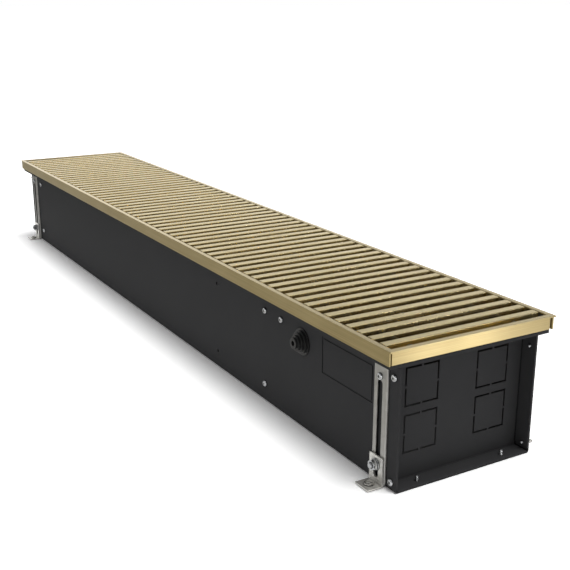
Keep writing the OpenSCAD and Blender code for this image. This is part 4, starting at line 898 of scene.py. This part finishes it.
floor = flat_sheet("floor", -STAGE_HALF, STAGE_HALF, -STAGE_HALF, STAGE_HALF, STAGE_Z, material)
print("floor", 2 * STAGE_HALF, "m wide")

# %% [markdown]
# Brushed metal is only as bright as what it mirrors, so the sky is a room in steps: pale walls at
# the horizon, dark above them and bright overhead. In one even sky all the bars would be the same
# tone, but in the photograph the far bars, which mirror the pale wall, are brighter than the near.
# Camera, mirror and glass rays see those steps. The rays that carry light get one even level, so the
# colours render about as they are written.

# %% Sky
SKY_LIGHT = 0.46
# How high a direction points, from level to straight up, and how bright the sky is there.
SKY_STEPS = [(0.0, 1.0), (0.27, 1.0), (0.37, 0.2), (0.62, 0.2), (0.85, 0.8)]

world = bpy.data.worlds.new("studio")
bpy.context.scene.world = world
world.use_nodes = True
sky_tree = world.node_tree
sky_tree.nodes.clear()
direction = add_node(sky_tree, "ShaderNodeTexCoord").outputs["Generated"]
up = add_node(sky_tree, "ShaderNodeSeparateXYZ", inputs={"Vector": direction}).outputs["Z"]
room = add_node(sky_tree, "ShaderNodeValToRGB", inputs={"Fac": up})
steps = room.color_ramp.elements
while len(steps) < len(SKY_STEPS):
    steps.new(0.5)
for step, (height, tone) in zip(steps, SKY_STEPS):
    step.position = height
    step.color = (tone, tone, tone, 1)
level = add_node(sky_tree, "ShaderNodeMapRange", inputs={
    "Value": seen_directly(sky_tree), "To Min": SKY_LIGHT, "To Max": room.outputs["Color"]})
sky = add_node(sky_tree, "ShaderNodeBackground", inputs={
    "Color": linear("#ffffff"), "Strength": level.outputs["Result"]})
add_node(sky_tree, "ShaderNodeOutputWorld", inputs={"Surface": sky.outputs["Background"]})
print("sky light", SKY_LIGHT)

# %% [markdown]
# The light is a wide sun overhead, which gives the even tops and the soft shadow beside the trough.
# Its image would sparkle on the bars, so mirrors don't see it. A lamp is small and strong instead,
# beyond the near end, and only mirrors see it: it puts the soft bright spot in the middle of the
# frame's end face. A grey card lies on the floor on the room side, and only reflections show it. It
# keeps the frame's long face a shade darker than its end face, and grows paler towards the near end,
# as the photograph does. A dark wall would do the same here, but would show in the bars from behind.

# %% Sun, lamp and card
SUN_FROM, SUN_ENERGY, SUN_ANGLE = (0.18, 0.1, 1), 1.9, math.radians(24)
LAMP_AT, LAMP_TO, LAMP_SIZE, LAMP_WATTS = (2.6, 1.45, 0.75), (0.8, 0, 0.15), 0.3, 15
CARD_X, CARD_Y, CARD_Z = (-22, 1.3), (-1.9, -0.2), 2 * MM
DARK_TO, PALE_FROM = -2.2, 0.6


def aim(obj, place, target):
    """Puts an object at a place, with its -Z axis towards a target."""
    way = Vector(target) - Vector(place)
    obj.matrix_world = Matrix.Translation(place) @ way.to_track_quat("-Z", "Y").to_matrix().to_4x4()


lamp_data = bpy.data.lights.new("face_lamp", "AREA")
lamp_data.shape = "DISK"
lamp_data.size = LAMP_SIZE
lamp_data.energy = LAMP_WATTS
lamp = link(bpy.data.objects.new("face_lamp", lamp_data))
lamp.visible_camera = lamp.visible_diffuse = False
aim(lamp, LAMP_AT, LAMP_TO)

sun_data = bpy.data.lights.new("overhead", "SUN")
sun_data.energy = SUN_ENERGY
sun_data.angle = SUN_ANGLE
sun = link(bpy.data.objects.new("overhead", sun_data))
sun.visible_glossy = False
aim(sun, SUN_FROM, (0, 0, 0))

material, tree, shader, place = new_material("fading_card")
along = add_node(tree, "ShaderNodeSeparateXYZ", inputs={"Vector": place}).outputs["X"]
fade = add_node(tree, "ShaderNodeMapRange", inputs={
    "Value": along, "From Min": DARK_TO, "From Max": PALE_FROM}).outputs["Result"]
tone = add_node(tree, "ShaderNodeMix", {"data_type": "RGBA"}, {
    AMOUNT: fade, FIRST: linear("#3c3a37"), SECOND: linear("#c4c2bd")}).outputs[MIXED]
fill(shader, {"Base Color": tone, "Roughness": 0.9, "Specular IOR Level": 0.0})
card = flat_sheet("floor_card", *CARD_X, *CARD_Y, CARD_Z, material)
card.visible_camera = card.visible_diffuse = card.visible_shadow = False
print("sun", SUN_ENERGY, "W per square metre, lamp", LAMP_WATTS, "W")
